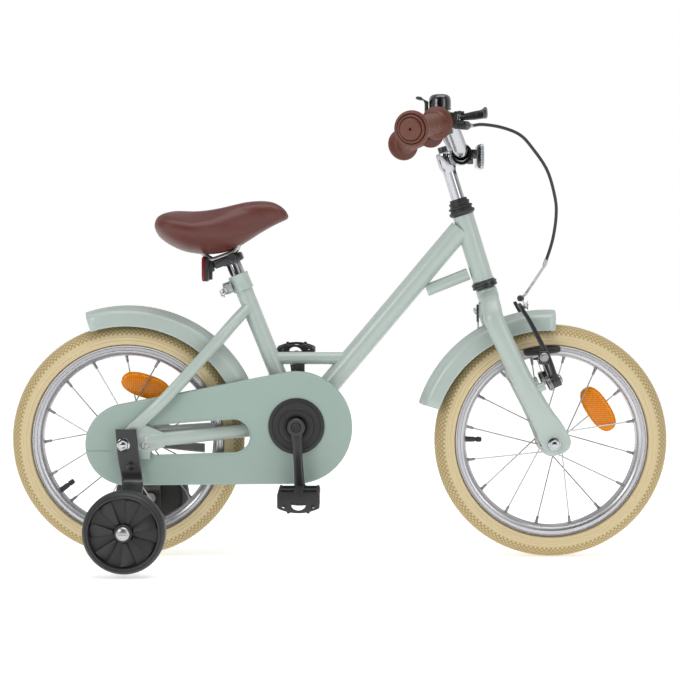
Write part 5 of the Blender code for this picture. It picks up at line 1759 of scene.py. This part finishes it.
# %% Noodle, boot and anchor bolt
bend = [
    (309.1, 40.2, 433.2), (288, 42, 401), (280, 40, 390), (274, 32, 386.5), (271, 22, 386), (270.5, 14, 386),
]
finish_piece(
    "bent_noodle", swept(smooth_route(bend, 3.0), 2.2, 20), ZINC, "left_brake",
    ["brake_noodle"], 60,
)
boot_rows = [(14.5, 3.4), (13.5, 4.6), (11.5, 4.8)]
for fold in range(6):
    at = 10.5 - fold * 4.0
    boot_rows += [(at, 4.7 - fold * 0.15), (at - 1.4, 3.5 - fold * 0.1), (at - 2.6, 4.6 - fold * 0.15)]
boot_rows += [(-15.5, 3.2), (-17.5, 2.2), (-18.5, 1.6)]
boot_profile = [(14.5, 0)] + boot_rows + [(-18.5, 0)]
wire_line = Vector((270.5, 0, 386))
finish_piece(
    "wire_boot", turned(boot_profile, wire_line, ACROSS, 28), BLACK, "left_brake"
)
wire = rod((270.5, -16, 386), (272.5, -50, 377), 0.8, 10)
anchor = gathered(
    hex_nut((276, -38.5, 377), Vector((-1, 0, 0)), 9.0, 6.0),
    turned([(0, 0), (0, 6.2), (1.2, 6.2), (1.6, 5.6), (1.6, 0)], (277.5, -38.5, 377), Vector((-1, 0, 0)), 32),
    wire,
)
finish_piece("anchor_bolt_and_wire", anchor, ZINC, "right_brake")

# %% [markdown]
# ## Seat post and clamps
# The chromed post slides in the seat tube. A painted collar with two ears is squeezed by a chromed quick
# release lever. On top, a black clamp holds the two bent wires under the saddle, and the rear reflector hangs
# from it.


# %% Seat post, clamp and lever
def seat_block(low, high, front, back, half, edge=0.0):
    """A box square to the seat tube."""
    return placed(block((front, -half, low), (back, half, high), edge, 3), BRACKET, SEAT_BACK, ACROSS, SEAT)


finish_piece(
    "chromed_seat_post", rod(on_seat_tube(130), on_seat_tube(262), 11.1, 56, 0.6), CHROME, "seat",
    ["seat_post"]
)
profile = [
    (214, 13.1), (214, 14.6), (214.6, 15.4), (217, 15.4), (217.8, 14.9), (235, 14.9), (235.8, 15.4),
    (238.2, 15.4),
]
profile += [(239, 14.6), (239, 11.35), (236.3, 11.35), (236.3, 13.1)]
ring_part = turned(profile, BRACKET, SEAT, 64, True)
collar = cut(
    fuse(ring_part, seat_block(216.5, 234.5, 13.5, 27.0, 7.5, 2.0)),
    seat_block(210.0, 242.0, 8.0, 30.0, 1.2),
)
finish_piece("painted_seat_clamp", collar, MINT, "frame_body", ["seat_clamp"])
lever_rows = [
    (224.5, 23, -14, 4.4, 3.6, 0.0), (223, 28, -13, 4.6, 3, 0.5), (222, 31.6, -9, 5, 2.4, 0.8),
    (221, 33.8, 0, 5.4, 2, 1.0),
    (220, 33.8, 12, 5.8, 1.9, 1.0), (219.4, 33, 22, 6, 1.8, 1.0), (219.4, 32.8, 25, 3.6, 1.2, 1.0),
]
lever_frames = []
for along, back, across, high, thick, share in eased(lever_rows, 4):
    second = (ACROSS * (1 - share) + SEAT_BACK * share).normalized()
    lever_frames.append(section_frame(on_seat_tube(along, back, across), SEAT, second, (high, thick)))
cam_head = [(0, 0), (0, 6.4), (0.8, 7.2), (7, 7.2), (8, 6.2), (8, 4.6), (7, 4.2), (7, 0)]
lever = fuse(through(lever_frames, 28, 3.0), turned(cam_head, on_seat_tube(225.5, 20.5, -8.6), -ACROSS, 40))
finish_piece("quick_release_lever", lever, CHROME, "clamp_lever", ["seat_clamp_lever"], 40)
acorn = turned(
    [(0, 0), (0, 6), (0.8, 6.4), (3, 6.4), (5, 5.4), (6, 3.6), (6.4, 0)], on_seat_tube(225.5, 20.5, 7.7),
    ACROSS, 32,
)
skewer = rod(on_seat_tube(225.5, 20.5, -8.1), on_seat_tube(225.5, 20.5, 8.4), 3.0, 24)
finish_piece("clamp_skewer_and_nut", gathered(acorn, skewer), ZINC, "frame_body")


# %% Saddle clamp and rear reflector
def saddle_clamp():
    top = Vector((-158.5, 0, 447.0))
    slope = Vector((math.cos(math.radians(20)), 0, math.sin(math.radians(20))))
    cradle = block((-29, -17, -6), (15, 17, 6), 2.2, 3)
    placed(cradle, top - UP * 1.5, slope, ACROSS, slope.cross(ACROSS))
    sleeve = rod(on_seat_tube(256.5), on_seat_tube(264.5), 14.6, 48, 1.0)
    pin = rod(top - ACROSS * 23, top + ACROSS * 23, 5, 32, 0.8)
    post_hole = rod(on_seat_tube(240), on_seat_tube(262.3), 11.2, 48)
    shape = cut(fuse(cradle, sleeve, pin), post_hole)
    finish_piece("bolted_saddle_clamp", shape, BLACK_METAL, "seat", ["saddle_clamp"])
    nuts = [hex_nut(top + ACROSS * side * 22.8, ACROSS * side, 11.5, 5.0) for side in (RIGHT, LEFT)]
    finish_piece("saddle_clamp_nuts", gathered(*nuts), BLACK_METAL, "seat")


def rear_reflector():
    rows = [(-198.4, 0.8), (-199.0, 0.2), (-202.2, 0.2), (-203.2, 1.0), (-203.6, 2.2)]
    frames = [section_frame(Vector((x, 0, 430)), UP, ACROSS, (19 - k, 28 - k)) for x, k in rows]
    finish_piece(
        "red_lens", through(frames, 64, 6.0), RED_LENS, "seat", ["rear_reflector"], 34,
    )
    rows = [(-198.3, 0.4), (-196.4, 0.4), (-195.0, 1.6), (-193.8, 3.4), (-193.2, 6)]
    frames = [section_frame(Vector((x, 0, 430)), UP, ACROSS, (19 - k, 28 - k)) for x, k in rows]
    mount = fuse(
        through(frames, 64, 6.0), block((-195, -10, 426), (-186.5, 10, 445), 1.5),
        block((-195.5, -6.8, 414), (-189.5, 6.8, 448.6), 0.8),
    )
    finish_piece(
        "rear_reflector_mount", mount, BLACK, "seat", ["rear_reflector_bracket"], 34,
    )


def saddle_rails():
    """Two bent wires that carry the saddle and pass through its clamp."""
    rails = []
    for y in (-11, 11):
        route = [(-207, y, 458), (-200, y, 451), (-194, y, 446.4), (-187, y, 444.6), (-160, y, 454.4)]
        route += [(-154, y, 458), (-151, y, 464), (-150, y, 474)]
        rails.append(swept(smooth_route(route, 3), 3.4, 20))
    finish_piece("saddle_rails", gathered(*rails), ZINC, "seat")


saddle_clamp()
rear_reflector()
saddle_rails()

# %% [markdown]
# ## Saddle
# A saddle is foam on a moulded base under stretched vinyl. The form starts as sections from back to nose,
# each a crowned top over sides that draw in. Cloth simulation with a little pressure then lets the cover
# swell, and no point of it moves further than the cap.

# %% Saddle
SADDLE_STATIONS = [
    (-273.0, 490.0, 497.0, 30.0), (-269.5, 480.5, 507.0, 52.0), (-262.0, 472.5, 512.2, 63.0),
    (-250.0, 464.5, 514.5, 69.5), (-233.0, 456.8, 514.3, 72.0), (-215.0, 453.0, 513.7, 71.0),
    (-196.0, 451.8, 515.2, 66.0), (-176.0, 453.8, 518.6, 56.0), (-156.0, 459.8, 523.4, 44.0),
    (-136.0, 471.8, 528.0, 34.0), (-117.0, 484.0, 531.0, 27.5), (-100.0, 493.8, 530.0, 24.0),
    (-87.0, 499.6, 524.0, 20.5), (-78.5, 502.6, 516.0, 14.0), (-75.5, 503.8, 509.0, 6.0),
]
SWELL_START = 0.5
SWELL_CAP = 2.6


def saddle_form(shrink):
    """Sections from back to nose, smaller than the real saddle by a margin that the swelling fills."""
    rows = eased(SADDLE_STATIONS, 3)
    frames, bellies = [], []
    for x, low, high, half in rows:
        low, high, half = low + shrink, high - shrink, max(half - shrink, 2.0)
        frames.append(section_frame(Vector((x, 0, low + (high - low) * 0.52)), ACROSS, UP, (half, 1.0)))
        bellies.append((x, low, high, half))
    shape = through(frames, 48)
    for vert in shape.verts:
        x, low, high, half = min(bellies, key=lambda row: abs(row[0] - vert.co.x))
        belly = low + (high - low) * 0.52
        c = max(-1.0, min(1.0, vert.co.y / half))
        s = vert.co.z - belly
        vert.co.y = half * math.copysign(abs(c) ** 0.75, c)
        if s > 0:
            vert.co.z = belly + (high - belly) * min(1.0, abs(s)) ** 0.8
        else:
            vert.co.z = belly - (belly - low) * min(1.0, abs(s)) ** 0.9
            vert.co.y *= 1.0 - 0.30 * min(1.0, abs(s))
    return shape


def swollen(shape, pressure, frames_run, cap):
    """The form as a cloth under pressure. No point moves further than the cap."""
    bmesh.ops.scale(shape, vec=(MM, MM, MM), verts=shape.verts)
    mesh = bpy.data.meshes.new("cover")
    shape.to_mesh(mesh)
    shape.free()
    cover = bpy.data.objects.new("cover", mesh)
    scene.collection.objects.link(cover)
    remesh = cover.modifiers.new("even", "REMESH")
    remesh.mode = "VOXEL"
    remesh.voxel_size = 0.004
    graph = bpy.context.evaluated_depsgraph_get()
    cover.data = bpy.data.meshes.new_from_object(cover.evaluated_get(graph))
    cover.modifiers.clear()
    rest = [vert.co.copy() for vert in cover.data.vertices]
    cloth = cover.modifiers.new("swell", "CLOTH")
    cloth.settings.use_pressure = True
    cloth.settings.uniform_pressure_force = pressure
    cloth.settings.tension_stiffness = 30
    cloth.settings.compression_stiffness = 30
    cloth.settings.effector_weights.gravity = 0
    cloth.point_cache.frame_start = 1
    cloth.point_cache.frame_end = frames_run
    for frame_number in range(1, frames_run + 1):
        scene.frame_set(frame_number)
    graph = bpy.context.evaluated_depsgraph_get()
    cover.data = bpy.data.meshes.new_from_object(cover.evaluated_get(graph))
    cover.modifiers.clear()
    scene.frame_set(1)
    moved = 0.0
    for vert, start in zip(cover.data.vertices, rest):
        step = vert.co - start
        if step.length > cap * MM:
            step *= cap * MM / step.length
        vert.co = start + step
        moved = max(moved, step.length)
    print("cover swells by up to", round(moved * 1000, 2), "mm")
    result = bmesh.new()
    result.from_mesh(cover.data)
    bpy.data.objects.remove(cover, do_unlink=True)
    bmesh.ops.smooth_vert(
        result, verts=result.verts, factor=0.5, use_axis_x=True, use_axis_y=True, use_axis_z=True,
    )
    bmesh.ops.scale(result, vec=(1 / MM, 1 / MM, 1 / MM), verts=result.verts)
    return result


def saddle():
    shape = swollen(saddle_form(SWELL_START), 1.5, 20, SWELL_CAP)
    piece = finish_piece("vinyl_saddle", shape, VINYL, "seat", ["saddle"], 80)
    smooth = piece.modifiers.new("smooth", "SUBSURF")
    smooth.levels = 1
    smooth.render_levels = 1


saddle()

# %% [markdown]
# ## Stabilisers
# Each stabiliser is a bent flat steel arm, a shoulder bolt and a hard plastic wheel. The wheel's face is
# dished, with seven raised fan blades between its hub and its tread ring, and a domed cap with a slot covers
# the bolt.

# %% Stabilisers
STABILISER_RADIUS = 58.4
STABILISER_AXLE = Vector((-300.5, 190.0, 64.4))
BLADES = 7
BLADE_DEG = 27


def stabiliser_arm(name, side):
    line = [
        (-312.5, 64.5, 196.5), (-311, 64.5, 180), (-308, 64.5, 150), (-304.6, 64.6, 132), (-303.2, 67.5, 122),
    ]
    line += [
        (-301.8, 76, 114.5), (-300.5, 110, 98.5), (-300.5, 150, 89.5), (-300.5, 160.5, 85.6),
        (-300.5, 164.3, 78),
    ]
    line += [(-300.5, 164.5, 66), (-300.5, 164.5, 50)]
    points = smooth_route([(x, y * side, z) for x, y, z in line], 4.0)
    frames = []
    for i, point in enumerate(points):
        along = (points[min(i + 1, len(points) - 1)] - points[max(i - 1, 0)])
        along = Vector((0, along.y, along.z)).normalized()
        frames.append(section_frame(point, FORWARD, along.cross(FORWARD), (15.3, 2.5)))
    holes = [rod((-315.5, 50 * side, WHEEL_RADIUS), (-315.5, 80 * side, WHEEL_RADIUS), 5.2, 32)]
    holes.append(rod(
        (STABILISER_AXLE.x, 150 * side, STABILISER_AXLE.z),
        (STABILISER_AXLE.x, 185 * side, STABILISER_AXLE.z), 5.2, 32
    ))
    pressed_boss = rod((-305.6, 62 * side, 143), (-305.6, 68.4 * side, 143), 6.8, 32, 0.9)
    arm = cut(fuse(through(frames, 40, 9.0), pressed_boss), *holes)
    finish_piece(
        f"{name}_bent_stabiliser_arm", arm, BLACK_METAL, "frame_body",
        [f"{name}_stabiliser_bracket"], 34
    )


def stabiliser_wheel(name, side):
    axle = Vector((STABILISER_AXLE.x, STABILISER_AXLE.y * side, STABILISER_AXLE.z))
    out = ACROSS * side
    profile = [
        (-16, 5.3), (-16, 12.4), (-15.4, 13), (-7, 14), (-6, 15), (-6, 46), (-7, 47), (-14.4, 48.4),
        (-15.6, 49.6),
        (-16, 51), (-15.2, 53.4), (-12.8, 56.2), (-10, 57.8), (-8, STABILISER_RADIUS), (8, STABILISER_RADIUS),
        (10, 57.8), (12.8, 56.2),
        (14.6, 53.8), (14.2, 52.6), (15.4, 51.8), (16, 50.6), (15.6, 49.4), (13.8, 48.9), (7, 48), (6, 47),
        (6, 15),
        (7, 13.8), (16.2, 12.6), (17, 11.6), (17, 5.3),
    ]
    parts = [turned(profile, axle, out, 96, True)]
    first, second = FORWARD, out.cross(FORWARD)
    for i in range(BLADES):
        start = 360 / BLADES * i + 8
        outline = [
            (14.5, start + 2), (47, start), (47.4, start + 9), (47.4, start + 18), (47, start + BLADE_DEG),
            (14.5, start + 25),
        ]
        blade = bmesh.new()
        dots = []
        for radius, degrees in outline:
            angle = math.radians(degrees)
            dots.append(
                blade.verts.new(
                    axle + out * 5.0 + (first * math.cos(angle) + second * math.sin(angle)) * radius
                )
            )
        face = blade.faces.new(dots)
        raised = bmesh.ops.extrude_face_region(blade, geom=[face])["geom"]
        tops = [part for part in raised if isinstance(part, bmesh.types.BMVert)]
        bmesh.ops.translate(blade, verts=tops, vec=out * 9.0)
        for vert in tops:
            angle = math.atan2((vert.co - axle).dot(second), (vert.co - axle).dot(first))
            share = ((math.degrees(angle) - start) % 360) / BLADE_DEG
            vert.co -= out * 7.4 * min(share, 1.0)
        bmesh.ops.recalc_face_normals(blade, faces=blade.faces)
        rounded(blade, [e for e in blade.edges if e.verts[0] in tops and e.verts[1] in tops], 0.8, 2)
        parts.append(blade)
    body = f"{name}_stabiliser"
    finish_piece(
        f"{name}_fan_wheel", fuse(*parts), BLACK, body, [f"{name}_stabiliser_wheel"], 34,
    )
    bolt = [
        (-32, 0), (-32, 8), (-28.2, 8), (-28.2, 4.6), (17.3, 4.6), (17.3, 9.3), (18.4, 9.8), (19.6, 9.6),
        (21.2, 8),
    ]
    bolt += [(22.2, 5), (22.5, 0)]
    slot = placed(block((-7.5, -1.2, -1.2), (7.5, 1.2, 1.2)), axle + out * 22.2, first, second, out)
    cap = cut(turned(bolt, axle, out, 48), slot)
    finish_piece(f"{name}_capped_bolt", cap, ZINC, "frame_body", [f"{name}_stabiliser_bolt"])


for stabiliser_name, stabiliser_side in SIDES.items():
    stabiliser_arm(stabiliser_name, stabiliser_side)
    stabiliser_wheel(stabiliser_name, stabiliser_side)

# %% [markdown]
# ## Studio
# The photograph has an even white ground and no hard shadow. A pale floor that glows a little keeps only the
# soft contact shadows. The room around is a ring of pale and dark panels, which the chrome mirrors as its
# bright and dark bands, while the camera itself sees plain white. Three large soft lights shade the tubes.

# %% Floor
floor_finish, shader, where = new_finish(
    "pale_floor", "#F7F8F8", 0.9, Specular_IOR_Level=0.1, Emission_Strength=0.5,
)
shader.inputs["Emission Color"].default_value = linear("#FFFFFF")
tinted(floor_finish, shader, cloudy(floor_finish, where, 800.0), "#F6F7F7", "#F9FAFA")
floor_shape = bmesh.new()
bmesh.ops.create_grid(floor_shape, x_segments=1, y_segments=1, size=30.0)
floor_mesh = bpy.data.meshes.new("floor")
floor_shape.to_mesh(floor_mesh)
floor_shape.free()
floor_mesh.materials.append(floor_finish)
floor = bpy.data.objects.new("floor", floor_mesh)
scene.collection.objects.link(floor)

# %% Lights
PANELS = [
    (0.0, 0.45), (0.08, 0.8), (0.13, 0.3), (0.18, 0.04), (0.27, 0.04), (0.31, 0.5), (0.36, 0.95), (0.44, 0.3),
    (0.5, 0.6), (0.62, 0.9), (0.7, 0.35), (0.75, 0.8), (0.8, 0.3), (0.88, 0.9), (0.999, 0.45),
]
world = bpy.data.worlds.new("studio")
world.use_nodes = True
sky = world.node_tree
direction = add_node(world, "ShaderNodeTexCoord").outputs["Generated"]
round_room = add_node(
    world, "ShaderNodeTexGradient", {"Vector": direction}, gradient_type="RADIAL",
).outputs["Fac"]
panels = add_node(world, "ShaderNodeValToRGB", {"Fac": round_room})
panels.color_ramp.interpolation = "EASE"
for place, grey in PANELS:
    stop = panels.color_ramp.elements.new(place)
    stop.color = (grey, grey, grey, 1.0)
seen = add_node(world, "ShaderNodeLightPath").outputs["Is Camera Ray"]
room = add_node(world, "ShaderNodeMix", {0: seen, 6: panels.outputs["Color"]}, data_type="RGBA")
room.inputs[7].default_value = (1.0, 1.0, 1.0, 1.0)
sky.links.new(room.outputs[2], sky.nodes["Background"].inputs["Color"])
scene.world = world
scene.view_settings.view_transform = "Standard"


def soft_light(name, place, aim, size, power):
    data = bpy.data.lights.new(name, "AREA")
    data.shape = "RECTANGLE"
    data.size, data.size_y = size
    data.energy = power
    lamp = bpy.data.objects.new(name, data)
    scene.collection.objects.link(lamp)
    lamp.location = place
    lamp.rotation_mode = "QUATERNION"
    lamp.rotation_quaternion = (Vector(aim) - Vector(place)).to_track_quat("-Z", "Y")


soft_light("overhead", (0.2, -0.6, 2.6), (0, 0, 0.3), (2.6, 1.6), 33)
soft_light("front_left", (-2.0, -2.4, 1.5), (0, 0, 0.3), (1.2, 1.2), 21)
soft_light("front_right", (2.2, -2.2, 1.1), (0, 0, 0.3), (0.8, 1.4), 7)
print("three lights in a room of", len(PANELS), "panels")

# %% [markdown]
# ## Finish
# The view layer is brought up to date at the end.

# %% Finish
bpy.context.view_layer.update()
